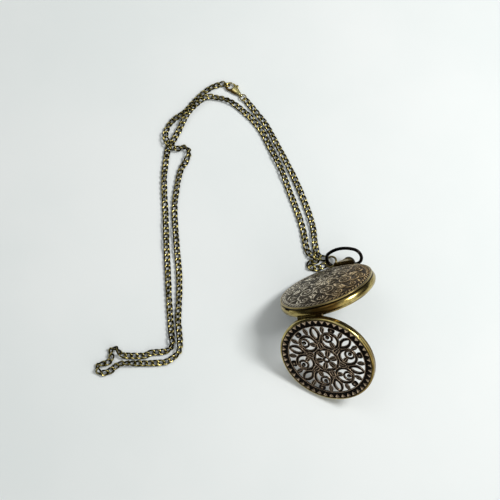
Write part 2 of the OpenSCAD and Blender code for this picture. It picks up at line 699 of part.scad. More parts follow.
module latch() {
    color("silver") in_watch() {
        translate([-latch_w / 2, latch_r - latch_t, latch_low + 0.05])
            cube([latch_w, latch_t, -bezel_seat - 0.05 - latch_low - 0.05]);
        translate([-latch_w / 2, latch_r - nose_t, -bezel_seat - 0.2])
            cube([latch_w, nose_t, nose_h + bezel_seat + 0.2]);
    }
}
module lift_spring() {
    color("silver") in_watch() translate([-lift_l / 2, -lift_r - lift_t, lift_low])
        cube([lift_l, lift_t, lift_top - lift_low]);
}
module hinge_pin() {
    color("darkgoldenrod") in_watch() translate(hinge_at) rod_x(pin_r, hinge_l);
}

// The lid is drawn closed: its front is at lid_h and its centre on the dial's
grille_r = lid_r - lid_wall - rim_gap;
grille_z = lid_h - 0.15 - grille_t;
module lid_section() {
    low = lid_gap + lid_edge;
    top = lid_h - lid_round;
    translate([lid_r - lid_wall, lid_gap]) square([lid_wall - lid_edge, low]);
    translate([lid_r - lid_edge, low]) circle(lid_edge);
    translate([lid_r - lid_wall, low]) square([lid_wall, top - low]);
    intersection() {
        translate([lid_r - lid_round, top]) circle(lid_round);
        translate([lid_r - lid_wall, 0]) square([lid_wall, lid_h]);
    }
    translate([lid_r - lid_wall, top]) square([lid_wall - lid_round + eps, lid_round]);
    translate([grille_r - border_w + 0.7, grille_z - 0.6]) square([border_w, 0.6]);
}
module lid_rim() {
    color("darkgoldenrod") in_lid() difference() {
        union() {
            difference() {
                rotate_extrude($fn = 128) lid_section();
                for (s = [-1, 1]) translate(hinge_at + [s * (hinge_l + knuckle_l) / 4 + s * 0.075, 0, 0])
                    rod_x(knuckle_r + knuckle_gap, (hinge_l - knuckle_l) / 2 + 0.15);
            }
            translate(hinge_at) rod_x(knuckle_r, knuckle_l);
        }
        translate(hinge_at) rod_x(pin_r + turn_gap, hinge_l + 2);
        translate([-latch_w / 2 - 0.5, latch_r - nose_t - 0.1, 0])
            cube([latch_w + 1, nose_t + 0.45, nose_h + 0.4]);
    }
}

// Openwork: a rosette, a ring round it and six volutes held by leaves and beads. It is drawn for an
// opening of 18.55 mm radius and scaled to the lid's own
volutes = 6;
art = (grille_r - border_w) / 18.55;
volute_at = 11.2;
volute_r = 4.9;
strip = 1.5;
module hoop(r, w) {
    difference() {
        circle(r);
        circle(r - w);
    }
}
// Pointed leaf along +X, from x = a to x = b, w wide
module leaf(a, b, w) {
    half = (b - a) / 2;
    r = (half * half + w * w / 4) / w;
    intersection_for(s = [-1, 1]) translate([(a + b) / 2, s * (r - w / 2)]) circle(r, $fn = 96);
}
module volute() {
    hoop(volute_r, strip);
    translate([volute_r - 3.1, 0]) hoop(2.7, 1.1);
    translate([volute_r - 2.9, 0]) circle(1);
    translate([volute_r - 2.9, -0.4]) square([2.2, 0.8]);
    rotate(180) leaf(0.5, volute_r - 0.4, 2.4);
}
module openwork() {
    inner = 18.55;
    difference() {
        circle(1.9);
        circle(0.7);
    }
    hoop(6.6, strip);
    for (i = [0:volutes - 1]) rotate(i * 360 / volutes) {
        leaf(1.2, 6.4, 2.8);
        translate([volute_at, 0]) rotate(40) volute();
        translate([(volute_at + volute_r + inner) / 2, 0])
            circle((inner - volute_at - volute_r) / 2 + 0.5);
        for (s = [-1, 1]) rotate(s * 15) leaf(14.8, inner + 0.8, 2.2);
        rotate(180 / volutes) {
            leaf(5.6, 10.2, 3);
            translate([volute_at * cos(180 / volutes), 0]) circle(1.5);
            difference() {
                leaf(10.4, inner + 0.8, 5.2);
                leaf(12.2, inner - 0.9, 2.1);
            }
        }
    }
}
module lid_grille() {
    inner = grille_r - border_w;
    pitch = 360 / beads;
    color("#4d3b24") in_lid() translate([0, 0, grille_z]) {
        linear_extrude(grille_t - 0.15) scale(art) openwork();
        linear_extrude(grille_t) scale(art) {
            hoop(6.25, 0.35);
            for (i = [0:volutes - 1]) rotate(i * 360 / volutes) translate([volute_at, 0])
                hoop(volute_r - 0.35, 0.35);
        }
        linear_extrude(grille_t - 0.3) hoop(grille_r, border_w);
        linear_extrude(grille_t) hoop(inner + 0.45, 0.45);
        linear_extrude(grille_t) hoop(grille_r, 0.3);
        for (i = [0:beads - 1]) rotate(i * pitch) {
            linear_extrude(grille_t) polygon([[inner + 1.15, 0],
                for (s = [-0.42, 0.42]) (grille_r - 0.1) * [cos(s * pitch), sin(s * pitch)]]);
            rotate(pitch / 2) translate([inner + 0.9, 0, 0]) cylinder(r = 0.36, h = grille_t, $fn = 14);
        }
    }
}

// Closed round ring of wire in the XY plane
module wire_ring(r, wire) {
    rotate_extrude($fn = 72) translate([r, 0]) circle(wire, $fn = 24);
}
module jump_ring() {
    color("#6b5326") translate(ring_at) rotate(ring_lean) wire_ring(ring_r, ring_wire);
}

// Flat tube of 8 sides along a route
module chain(steps) {
    route = [for (p = steps) [ring_at.x + p.x, ring_at.y + p.y, p.z]];
    last = len(route) - 1;
    sides = 8;
    grow = 1 / cos(180 / sides);
    points = [for (i = [0:last])
        let (d = route[min(i + 1, last)] - route[max(i - 1, 0)], t = d / norm(d),
            flat = norm([t.x, t.y]), side = [t.y, -t.x, 0] / flat, rise = cross(side, t))
        for (k = [0:sides - 1]) let (a = 360 * (k + 0.5) / sides)
            route[i] + grow * (side * cos(a) * chain_w + rise * sin(a) * chain_t) / 2];
    walls = [for (i = [0:last - 1], k = [0:sides - 1]) let (n = (k + 1) % sides, b = i * sides)
        each [[b + k, b + n, b + sides + n], [b + k, b + sides + n, b + sides + k]]];
    ends = [[for (k = [sides - 1:-1:0]) k], [for (k = [0:sides - 1]) last * sides + k]];
    polyhedron(points, concat(walls, ends), convexity = 6);
}
module chain_short() {
    color("#4d3d20") chain(short_route);
}
module chain_long() {
    color("#4d3d20") chain(long_route);
}

// The clasp lies flat: its hook is round the origin and its tail on +X
tail_at = clasp_l - hook_r - hook_wire - 1.1;
lever_t = 1;
pivot_at = [3.9, 0.9];
module on_clasp() {
    translate(clasp_at) rotate(clasp_turn) children();
}
module clasp_body() {
    color("#b08d3c") on_clasp() difference() {
        union() {
            wire_ring(hook_r, hook_wire);
            translate([0, 0, -clasp_t / 2]) linear_extrude(clasp_t) difference() {
                polygon([[1.2, -2.3], [3, -2.2], [5, -1.6], [tail_at, -0.7], [tail_at, 0.7],
                    [5, 1.6], [3, 2.2], [1.2, 2.3]]);
                circle(hook_r - 0.2);
            }
            translate([tail_at, -0.5, 0]) rod_y(1.1, 1);
        }
        translate([0, 0, -5]) linear_extrude(10) polygon([[-0.2, 0.9], [-0.2, 4], [2.6, 4], [2.6, 0.9]]);
        translate([0, -0.4, -lever_t / 2 - 0.05]) cube([pivot_at.x + 1, 5, lever_t + 0.1]);
        translate([tail_at, -2, 0]) rod_y(link_wire + 0.25, 4);
        translate([pivot_at.x, pivot_at.y, -2]) cylinder(r = 0.3 + press_gap, h = 4);
    }
}
module clasp_lever() {
    color("#b08d3c") on_clasp() translate([0, 0, -lever_t / 2]) linear_extrude(lever_t) difference() {
        union() {
            translate(pivot_at) circle(0.75);
            polygon([[0, 1.65], [1.8, 1.65], [3.2, 0.9], [4.1, 0.35], [4.1, 1.6], [2, 2.45], [0, 2.35]]);
            translate([2.6, 2.5]) circle(0.6);
        }
        translate(pivot_at) circle(0.3 + turn_gap);
    }
}
module clasp_pin() {
    color("#b08d3c") on_clasp() translate([pivot_at.x, pivot_at.y, -clasp_t / 2])
        cylinder(r = 0.3, h = clasp_t);
}
module clasp_ring() {
    color("#b08d3c") on_clasp() translate([tail_at + link_ring_r, 0, 0])
        wire_ring(link_ring_r, link_wire);
}
module end_ring() {
    color("#b08d3c") on_clasp() rotate(200) translate([hook_r, 0, 0.1]) rotate([38, 0, 0])
        wire_ring(link_ring_r, link_wire);
}

case_middle();
back_cover();
back_seal();
bezel();
crystal();
crystal_seal();
dial();
movement_holder();
main_plate();
train_bridge();
bridge_screws();
circuit_board();
stator();
coil();
button_cell();
cell_clip();
rotor();
fifth_wheel();
seconds_wheel();
third_wheel();
center_wheel();
minute_wheel();
hour_wheel();
hour_hand();
minute_hand();
second_hand();
crown_tube();
stem();
clutch_wheel();
crown();
pendant();
bow();
latch();
lift_spring();
hinge_pin();
lid_rim();
lid_grille();
jump_ring();
chain_short();
chain_long();
clasp_body();
clasp_lever();
clasp_pin();
clasp_ring();
end_ring();
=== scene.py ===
import json
import math

import bmesh
import bpy
import numpy as np
from mathutils import Matrix, Vector

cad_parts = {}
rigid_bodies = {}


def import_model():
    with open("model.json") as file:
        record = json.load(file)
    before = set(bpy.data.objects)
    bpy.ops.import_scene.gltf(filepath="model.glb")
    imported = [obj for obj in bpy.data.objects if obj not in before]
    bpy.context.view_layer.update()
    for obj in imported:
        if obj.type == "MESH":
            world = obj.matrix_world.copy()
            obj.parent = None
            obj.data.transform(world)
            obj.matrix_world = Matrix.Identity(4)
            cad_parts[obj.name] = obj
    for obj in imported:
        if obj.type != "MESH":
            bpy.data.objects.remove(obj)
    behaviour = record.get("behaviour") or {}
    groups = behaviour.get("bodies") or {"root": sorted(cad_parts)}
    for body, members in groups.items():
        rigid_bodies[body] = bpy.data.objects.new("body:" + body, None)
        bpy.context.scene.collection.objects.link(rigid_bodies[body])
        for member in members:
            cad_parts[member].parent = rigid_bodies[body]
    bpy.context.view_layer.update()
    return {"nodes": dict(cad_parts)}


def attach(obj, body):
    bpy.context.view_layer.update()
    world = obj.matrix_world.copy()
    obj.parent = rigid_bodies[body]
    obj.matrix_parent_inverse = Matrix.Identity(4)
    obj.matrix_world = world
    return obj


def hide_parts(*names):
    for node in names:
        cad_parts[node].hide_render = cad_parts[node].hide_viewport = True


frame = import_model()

# Camera. It looks down on the table from the side of the open lid, far enough away to draw the
# disc of the case only slightly in perspective.
focal_px, image_px, sensor_mm = 1216.9, 500, 36.0
look_down, look_turn, look_from = math.radians(71.331), math.radians(-1.664), 0.600
aim_x, aim_y = 0.037216, -0.028439
watch_shift = np.array([0.000734942, 0.0102721, 0.0])


def from_camera_plan(x, y, z):
    """A point of the camera's own plan, moved back by the aim and turned by -look_turn about Z."""
    c, s = math.cos(look_turn), math.sin(look_turn)
    x, y = x - aim_x, y - aim_y
    return Vector(np.array([x * c + y * s, -x * s + y * c, z]) + watch_shift)


camera_data = bpy.data.cameras.new("photo_camera")
camera_data.sensor_width = sensor_mm
camera_data.lens = focal_px / image_px * sensor_mm
camera_data.clip_start, camera_data.clip_end = 0.01, 20
camera = bpy.data.objects.new("photo_camera", camera_data)
bpy.context.scene.collection.objects.link(camera)
aim = from_camera_plan(0, 0, 0)
camera.location = from_camera_plan(0, -look_from * math.cos(look_down),
                                   look_from * math.sin(look_down))
camera.rotation_mode = "QUATERNION"
camera.rotation_quaternion = (aim - camera.location).to_track_quat("-Z", "Y")
bpy.context.scene.camera = camera


# Necklace chain. Curb links of round wire in antique bronze, each twisted so that the chain lies
# flat. It lies folded double on the table, with a small bunch beside its ring and two tight kinks
# where it turns on edge. Steps are millimetres from the ring on the bow.
ring_at = np.array([2.53477, 32.1182])
short_steps = [[-3.5, 1.9, 0.8], [-6.5, 3.6, 0.8], [-7.9, 9.3, 0.8], [-9.3, 19.3, 0.8],
    [-13, 30.3, 0.8], [-17.5, 41.3, 0.8], [-23, 52.8, 0.8], [-28, 62.3, 0.8], [-34, 73.3, 0.8],
    [-40, 80.8, 0.8], [-44.3, 86.3, 1]]
long_steps = [[-3.5, -1.8, 0.8], [-6.5, -3.3, 0.8], [-9.3, -3.2, 0.9], [-10.6, -1.6, 1.4],
    [-8.4, -0.4, 2.0], [-6.5, 0.5, 2.5], [-7.6, 2.2, 2.6], [-10.4, 3.8, 1.7], [-12.1, 7.3, 0.8],
    [-14, 16.8, 0.8], [-17, 26.3, 0.8], [-21, 36.8, 0.8], [-25.5, 48.8, 0.8], [-31, 59.8, 0.8],
    [-36.5, 70.3, 0.8], [-43.5, 78.3, 0.8], [-51.5, 84.8, 0.8], [-58.5, 87.1, 1],
    [-64.5, 86.9, 2.3], [-70, 82.3, 2.4], [-73.5, 77.8, 2.4], [-76, 72.8, 2], [-78, 67.8, 0.9],
    [-80.8, 62, 0.8], [-82.8, 58.3, 0.8], [-83.4, 53.8, 0.8], [-84, 43.8, 0.8], [-83.5, 34.3, 0.8],
    [-82.3, 22.3, 0.8], [-81, 6.3, 0.8], [-79.5, -9.2, 0.8], [-78, -24.7, 0.8],
    [-76.3, -39.2, 0.8], [-75.7, -44.2, 0.8], [-78.5, -47.2, 0.8], [-85.5, -48.2, 0.8],
    [-89.5, -49.7, 0.8], [-99, -49.7, 0.8], [-101.8, -47.2, 0.8], [-104.2, -46.7, 0.8],
    [-104.9, -49.2, 0.8], [-104.5, -52, 0.8], [-107, -53.9, 0.8], [-109.8, -54.7, 0.8],
    [-110.7, -56.9, 0.8], [-108.8, -58.7, 0.8], [-105.5, -58.1, 0.8], [-103, -56.1, 0.8],
    [-100, -54, 0.8], [-92.5, -53.5, 0.8], [-85, -53.2, 0.8], [-78.5, -52.5, 0.8],
    [-74.8, -50.2, 0.8], [-72.3, -47.2, 0.8], [-72, -43.2, 0.8], [-72.8, -36.7, 0.8],
    [-73.5, -30.7, 0.8], [-73.5, -20.7, 0.8], [-74, -9.2, 0.8], [-75.5, 2.3, 0.8],
    [-77, 14.8, 0.8], [-78, 25.3, 0.8], [-77.5, 35.3, 0.8], [-76, 45.8, 0.8], [-73.8, 50.8, 0.8],
    [-72.3, 54.3, 0.8], [-72.5, 57.3, 0.8], [-74.5, 59.1, 0.8], [-77.5, 58.1, 1.6],
    [-80.5, 58.3, 2.4], [-83.5, 61.3, 2.4], [-84.5, 65.8, 1.8], [-83.3, 70.3, 0.8],
    [-80, 74.8, 0.8], [-75, 78.8, 0.8], [-71, 84.1, 0.8], [-66.5, 89.3, 0.8], [-62.5, 92.6, 0.8],
    [-59, 94.5, 0.8], [-56.5, 95.2, 1]]
link_wide, link_long, link_wire, link_rise, link_pitch, first_link = 3.25, 4.5, 0.44, 0.45, 2.8, 0.6
link_points, link_sides = 14, 6
lies_flat, lies_on_edge, table_gap = 0.85, 1.5, 0.01
resting_z, lifted_z, end_run = 0.9, 1.7, 6


def smooth_route(steps):
    """Catmull-Rom curve through the steps: half of 2b + (c - a) t + (2a - 5b + 4c - d) t squared
    + (3b - 3c + d - a) t cubed, for t from 0 to 1 between each two steps b and c."""
    p = np.array([[ring_at[0] + x, ring_at[1] + y, z] for x, y, z in steps])
    p = np.vstack([2 * p[:1] - p[1:2], p, 2 * p[-1:] - p[-2:-1]])
    a, b, c, d = p[:-3, None], p[1:-2, None], p[2:-1, None], p[3:, None]
    t = np.linspace(0, 1, 24, endpoint=False)[None, :, None]
    line = (2 * b + (c - a) * t + (2 * a - 5 * b + 4 * c - d) * t**2
            + (3 * b - 3 * c + d - a) * t**3) / 2
    return np.vstack([line.reshape(-1, 3), p[-2:-1]])


def unit(v):
    """Each vector divided by its own length."""
    return v / np.linalg.norm(v, axis=-1, keepdims=True)


def full_turn(sides):
    """Angles at equal steps round a full turn."""
    return np.linspace(0, 2 * np.pi, sides, endpoint=False)


def squared(v, power):
    """Sign of v times its size to the power, which squares a round off where the power is under 1."""
    return np.sign(v) * np.abs(v) ** power


def tube_along(line, side, rise, radius, sides):
    """Round wire: each point of the line plus radius times (side cos a + rise sin a)."""
    a = full_turn(sides)[:, None]
    return line[:, None] + radius * (side[:, None] * np.cos(a) + rise[:, None] * np.sin(a))


def quads(rows, cols, wrap_rows, wrap_cols):
    """Corner numbers of the faces of a grid of rows by cols points, joined round where it wraps."""
    i = np.arange(rows if wrap_rows else rows - 1)[:, None]
    j = np.arange(cols if wrap_cols else cols - 1)[None]
    i2, j2 = (i + 1) % rows, (j + 1) % cols
    f = np.stack([i * cols + j, i * cols + j2, i2 * cols + j2, i2 * cols + j], -1)
    return f.reshape(-1, 4)


def facing_out(p, faces):
    """Faces of a closed sheet, turned round where its volume, the sum of a . (b x c + c x d) / 6,
    is negative."""
    corner = (p.reshape(-1, 3) - p.reshape(-1, 3).mean(0))[faces]
    a, b, c, d = np.moveaxis(corner, 1, 0)
    return faces if (a * (np.cross(b, c) + np.cross(c, d))).sum() > 0 else faces[:, ::-1]


def make_piece(name, sheets, body, merge=True):
    """One mesh from sheets of (points in millimetres, faces, relief from 0 to 1), which rides on
    a body. The relief is kept as an attribute of its points."""
    points, faces, relief, first = [], [], [], 0
    for p, f, h in sheets:
        points.append(p.reshape(-1, 3) / 1000)
        faces.append(facing_out(p, f) + first)
        relief.append(np.broadcast_to(np.asarray(h, float), p.shape[:-1]).ravel())
        first += len(points[-1])
    points, faces, relief = np.vstack(points), np.vstack(faces), np.concatenate(relief)
    mesh = bpy.data.meshes.new(name)
    mesh.vertices.add(len(points))
    mesh.vertices.foreach_set("co", points.astype(np.float32).ravel())
    mesh.loops.add(faces.size)
    mesh.loops.foreach_set("vertex_index", faces.astype(np.int32).ravel())
    mesh.polygons.add(len(faces))
    mesh.polygons.foreach_set("loop_start", np.arange(0, faces.size, 4, dtype=np.int32))
    mesh.update(calc_edges=True)
    mesh.attributes.new("relief", "FLOAT", "POINT").data.foreach_set("value", relief.astype(np.float32))
    if merge:
        shape = bmesh.new()
        shape.from_mesh(mesh)
        bmesh.ops.remove_doubles(shape, verts=shape.verts, dist=2e-7)
        bmesh.ops.dissolve_degenerate(shape, edges=shape.edges, dist=1e-7)
        shape.to_mesh(mesh)
        shape.free()
    mesh.polygons.foreach_set("use_smooth", np.ones(len(mesh.polygons), bool))
    mesh.validate()
    piece = bpy.data.objects.new(name, mesh)
    bpy.context.scene.collection.objects.link(piece)
    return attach(piece, body)


def curb_chain(name, steps):
    """Links at equal steps along the route, rolled on edge where it turns on the table and swaying
    a little between. Wire of a link: x = long |cos t| to the 0.9, y = wide |sin t| to the 0.75,
    with their signs, z = rise sin 2t."""
    line = smooth_route(steps)
    run = np.concatenate([[0], np.cumsum(np.linalg.norm(np.diff(line, axis=0), axis=1))])
    count = int(round((run[-1] - 2 * first_link) / link_pitch)) + 1
    middle = np.linspace(first_link, run[-1] - first_link, count)

    def at(s):
        """Points of the line at the lengths s from its start."""
        return np.stack([np.interp(s, run, line[:, k]) for k in range(3)], -1)

    along = unit(at(middle + 1.2) - at(middle - 1.2) + 1e-9)
    along[0] = unit(at(middle[0] + 1.5) - at(middle[0]))
    along[-1] = unit(at(middle[-1]) - at(middle[-1] - 1.5))
    heading = np.unwrap(np.arctan2(along[:, 1], along[:, 0]))
    swerve = np.convolve(np.pad(np.gradient(heading), 2, "edge"), np.array([1, 2, 3, 2, 1]) / 9,
                         "valid")
    place = at(middle)
    on_table = np.clip((lifted_z - place[:, 2]) / (lifted_z - resting_z), 0, 1)
    off_ends = np.clip(np.minimum(middle - 2, run[-1] - middle) / end_run, 0, 1)
    sway = 0.30 * np.sin(middle * 0.11 + 0.6) + 0.16 * np.sin(middle * 0.61 + 1)
    roll = on_table * off_ends * (np.clip(swerve * 2.2, -1, 1) * 0.85 + sway)
    lift = lies_flat * np.cos(roll) + lies_on_edge * np.abs(np.sin(roll))
    place[:, 2] = np.maximum(place[:, 2], lift)

    flat = unit(along * [1, 1, 0])
    left = np.stack([-flat[:, 1], flat[:, 0], 0 * flat[:, 0]], -1)
    rise = np.cross(along, left)
    c, s = np.cos(roll)[:, None], np.sin(roll)[:, None]
    left, rise = left * c + rise * s, rise * c - left * s

    t = full_turn(link_points)
    core = np.stack([(link_long / 2 - link_wire) * squared(np.cos(t), 0.9),
                     (link_wide / 2 - link_wire) * squared(np.sin(t), 0.75),
                     link_rise * np.sin(2 * t)], -1)
    ahead = unit(np.roll(core, -1, 0) - np.roll(core, 1, 0))
    out = unit(np.cross(ahead, [0, 0, 1]))
    link = tube_along(core, out, np.cross(out, ahead), link_wire, link_sides).reshape(1, -1, 3)
    points = (place[:, None] + link[..., :1] * along[:, None] + link[..., 1:2] * left[:, None]
              + link[..., 2:] * rise[:, None])
    points[..., 2] = np.maximum(points[..., 2], table_gap)
    first = (np.arange(count) * link.shape[1])[:, None, None]
    faces = (quads(link_points, link_sides, True, True)[None] + first).reshape(-1, 4)
    # Each link is toned bright on the top of its wire and dark underneath: partly wear on the high
    # points, partly a painted highlight on top and painted shade below.
    high = np.clip(0.5 + 0.5 * link[..., 2] / (link_rise + link_wire), 0, 1)
    rubbed = 0.08 + 0.82 * high**2 + 0 * points[..., 0]
    piece = make_piece(name, [(points, faces, rubbed)], "case", merge=False)
    return piece, (line / 1000).tolist(), run[-1] / 1000


chain_right, right_path, right_length = curb_chain("chain_short_links", short_steps)
chain_left, left_path, left_length = curb_chain("chain_long_links", long_steps)
for links, name in ((chain_right, "chain_short"), (chain_left, "chain_long")):
    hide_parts(name)


# Antique finish, of the chain and of every other metal part. Brass, plated, toned dark in its low
# places and rubbed bright again on its edges. Relief is the height from 0 to 1 that each new piece
# carries as an attribute, and a plain number on a part that has none.
def new_group(name, takes, gives):
    """Shader node group with named inputs, each (kind, default), and named outputs, each a kind."""
    tree = bpy.data.node_groups.new(name, "ShaderNodeTree")
    for label, (kind, value) in takes.items():
        socket = tree.interface.new_socket(label, in_out="INPUT", socket_type="NodeSocket" + kind)
        socket.default_value = value
    for label, kind in gives.items():
        tree.interface.new_socket(label, in_out="OUTPUT", socket_type="NodeSocket" + kind)
    return tree, tree.nodes.new("NodeGroupInput").outputs, tree.nodes.new("NodeGroupOutput").inputs


def add(tree, kind, links=None, **settings):
    """One node with its settings, and its inputs linked or set by name or number."""
    node = tree.nodes.new("ShaderNode" + kind)
    for key, value in settings.items():
        setattr(node, key, value)
    for key, value in (links or {}).items():
        if isinstance(value, bpy.types.NodeSocket):
            tree.links.new(value, node.inputs[key])
        else:
            node.inputs[key].default_value = value
    return node


def ramp(tree, value, low, high, out_low=0.0, out_high=1.0):
    """Value taken smoothly from out_low at low to out_high at high."""
    return add(tree, "MapRange", {"Value": value, "From Min": low, "From Max": high,
                                  "To Min": out_low, "To Max": out_high},
               interpolation_type="SMOOTHSTEP").outputs["Result"]


def mixed(tree, factor, a, b, how="MIX"):
    """Colour a where the factor is 0, and b, or a times b, where it is 1."""
    return add(tree, "Mix", {0: factor, 6: a, 7: b}, data_type="RGBA", blend_type=how).outputs[2]


def math_of(tree, operation, a, b):
    """Sum, product or other arithmetic of two values."""
    return add(tree, "Math", {0: a, 1: b}, operation=operation).outputs[0]


antique, take, give = new_group("antique_finish", {
    "Relief": ("Float", 0.5), "Low": ("Color", (0, 0, 0, 1)), "Middle": ("Color", (0.5, 0.5, 0.5, 1)),
    "High": ("Color", (1, 1, 1, 1)), "Toning": ("Float", 0.5), "Grain": ("Float", 0.02),
    "Grain size": ("Float", 2500.0), "Roughness": ("Float", 0.35), "Darkening": ("Float", 0.0),
    "Stain colour": ("Color", (1, 1, 1, 1))},
    {"Color": "Color", "Roughness": "Float", "Normal": "Vector"})
place = add(antique, "TexCoord").outputs["Object"]
cloud = add(antique, "TexNoise", {"Vector": place, "Scale": 230.0, "Detail": 5.0,
                                  "Roughness": 0.62}).outputs["Fac"]
fine = add(antique, "TexNoise", {"Vector": place, "Scale": take["Grain size"],
                                 "Detail": 3.0}).outputs["Fac"]
drift = math_of(antique, "SUBTRACT", math_of(antique, "ADD", cloud, fine), 1.0)
height = math_of(antique, "ADD", take["Relief"], math_of(antique, "MULTIPLY", drift, take["Toning"]))
tone = mixed(antique, ramp(antique, height, 0.05, 0.5), take["Low"], take["Middle"])
tone = mixed(antique, ramp(antique, height, 0.5, 0.95), tone, take["High"])
# Darkening: a colour multiplied in where the material's ramps say; painted shade on the clasp and a
# painted dark reflection on the band.
tone = mixed(antique, take["Darkening"], tone, take["Stain colour"], how="MULTIPLY")
antique.links.new(tone, give["Color"])
dull = ramp(antique, height, 0.1, 0.9, 0.2, -0.06)
antique.links.new(math_of(antique, "ADD", take["Roughness"], dull), give["Roughness"])
bump = add(antique, "Bump", {"Height": fine, "Strength": take["Grain"], "Distance": 0.0001})
antique.links.new(bump.outputs["Normal"], give["Normal"])

# Fine rings that polishing leaves on turned pieces, in the frame of the piece's own axis
rings, take, give = new_group(
    "polishing_rings", {"Centre": ("Vector", (0, 0, 0)), "Turn": ("Vector", (0, 0, 0))},
    {"Mark": "Float", "Radius": "Float", "Height": "Float"})
own = add(rings, "Mapping", {"Vector": add(rings, "TexCoord").outputs["Object"],
                             "Location": take["Centre"], "Rotation": take["Turn"]},
          vector_type="TEXTURE").outputs["Vector"]
xyz = add(rings, "SeparateXYZ", {"Vector": own}).outputs
flat = add(rings, "CombineXYZ", {"X": xyz[0], "Y": xyz[1]}).outputs[0]
radius = add(rings, "VectorMath", {0: flat}, operation="LENGTH").outputs["Value"]
angle = math_of(rings, "MULTIPLY", math_of(rings, "ARCTAN2", xyz[1], xyz[0]), 0.0016)
unrolled = add(rings, "CombineXYZ", {"X": radius, "Y": angle, "Z": xyz[2]}).outputs[0]
mark = add(rings, "TexNoise", {"Vector": unrolled, "Scale": 2600.0, "Detail": 4.0}).outputs["Fac"]
rings.links.new(mark, give["Mark"])
rings.links.new(math_of(rings, "MULTIPLY", radius, 1000.0), give["Radius"])
rings.links.new(math_of(rings, "MULTIPLY", xyz[2], 1000.0), give["Height"])


def finished(name, group):
    """New material with a group's colour, roughness and normal in its shader: the material and the
    inputs of the shader and of the group."""
    look = bpy.data.materials.new(name)
    look.use_nodes = True
    tree = look.node_tree
    shader = tree.nodes["Principled BSDF"]
    finish = tree.nodes.new("ShaderNodeGroup")
    finish.node_tree = group
    for given, taken in (("Color", "Base Color"), ("Roughness", "Roughness"), ("Normal", "Normal")):
        tree.links.new(finish.outputs[given], shader.inputs[taken])
    return look, shader.inputs, finish.inputs


def antique_metal(name, low, middle, high, relief=None, turned=None, rubbed=(), darkening=(),
                  darkening_colour=(1, 1, 1), **values):
    """Metal with the antique finish. Turned: centre and turn of its rings, with the ramps (Radius
    or Height, from, to, relief there and there) that say where it is rubbed bright. Darkening: ramps
    (direction, from, to) whose product says how far the darkening colour darkens it. On the clasp
    this is painted shade and on the band a painted dark reflection."""
    look, shader, finish = finished(name, antique)
    tree = look.node_tree
    shader["Metallic"].default_value = 1.0
    for label, colour in (("Low", low), ("Middle", middle), ("High", high),
                          ("Stain colour", darkening_colour)):
        finish[label].default_value = (*colour, 1)
    for label, value in values.items():
        finish[label.replace("_", " ").capitalize()].default_value = value
    height = relief
    if relief is None:
        height = add(tree, "Attribute", attribute_name="relief").outputs["Fac"]
    if turned is not None:
        marks = tree.nodes.new("ShaderNodeGroup")
        marks.node_tree = rings
        marks.inputs["Centre"].default_value, marks.inputs["Turn"].default_value = turned
        for label, *limits in rubbed:
            height = math_of(tree, "MINIMUM", height, ramp(tree, marks.outputs[label], *limits))
        height = math_of(tree, "ADD", height, ramp(tree, marks.outputs["Mark"], 0.3, 0.7, -0.1, 0.1))
    if isinstance(height, float):
        finish["Relief"].default_value = height
    else:
        tree.links.new(height, finish["Relief"])
    darkened = None
    for direction, *limits in darkening:
        reach = add(tree, "VectorMath", {0: add(tree, "TexCoord").outputs["Object"],
                                         1: [1000 * v for v in direction]},
                    operation="DOT_PRODUCT").outputs["Value"]
        part = ramp(tree, reach, *limits)
        darkened = part if darkened is None else math_of(tree, "MULTIPLY", darkened, part)
    if darkening:
        tree.links.new(darkened, finish["Darkening"])
    return look


def paint(look, *names):
    """Gives a material to CAD nodes that keep their own mesh, or to new pieces, by name."""
    for name in names:
        piece = frame["nodes"].get(name) or bpy.data.objects[name]
        piece.data.materials.clear()
        piece.data.materials.append(look)


paint(antique_metal("chain_bronze", (0.004, 0.003, 0.001), (0.034, 0.027, 0.006),
                    (0.64, 0.54, 0.20), toning=0.75, roughness=0.3, grain_size=900.0),
      "chain_short_links", "chain_long_links")
paint(antique_metal("ring_bronze", (0.010, 0.008, 0.003), (0.22, 0.17, 0.06),
                    (0.86, 0.72, 0.34), relief=0.62, toning=0.8, roughness=0.28), "jump_ring")


# Where the watch stands. It leans on its band, its crown and the rim of the open lid, so its own
# frame, with 12 o'clock on +Y and the dial on +Z, is turned onto the table.
def turn(axis, degrees):
    """Rotation matrix about one axis."""
    return np.array(Matrix.Rotation(math.radians(degrees), 3, axis))


watch_turn = turn("Z", 180) @ turn("Y", 33.3002) @ turn("X", -131.583)
watch_stand = np.array([0.734942, 10.2721, 19.0019])
hinge_line = np.array([0, -22.5, 0])
lid_open = turn("X", 83)


def on_watch(p):
    """Millimetres in the watch's frame to millimetres on the table."""
    return p @ watch_turn.T + watch_stand


def on_lid(p):
    """The closed lid's own place, turned open about the hinge, to millimetres on the table."""
    return on_watch((p - hinge_line) @ lid_open.T + hinge_line)


def axis_of(place, matrix):
    """Centre and Euler turn of a frame, for the polishing rings."""
    return tuple(place(np.zeros(3)) / 1000), tuple(Matrix(matrix.tolist()).to_euler("XYZ"))


watch_axis, lid_axis = axis_of(on_watch, watch_turn), axis_of(on_lid, watch_turn @ lid_open)


# Back cover. Thin pressed brass, domed, with scrollwork and leaves raised on a ground of engraved
# lines. Its polished rim snaps over the neck of the case.
back_r, back_top, back_low = 22.7, -3.8, -4.8
dome_r, dome_rise, scroll_r, plain_r = 22.4, 2.3, 20.2, 22.2
back_wall, relief_deep = 0.6, 0.26
repeat, leaves = 6, 66


def lathe(profile, turns=256):
    """Profile of (radius, height) points carried round the Z axis."""
    a = full_turn(turns)
    p = np.asarray(profile, float)
    return np.stack([p[:, :1] * np.cos(a), p[:, :1] * np.sin(a), p[:, 1:] + 0 * a], -1)


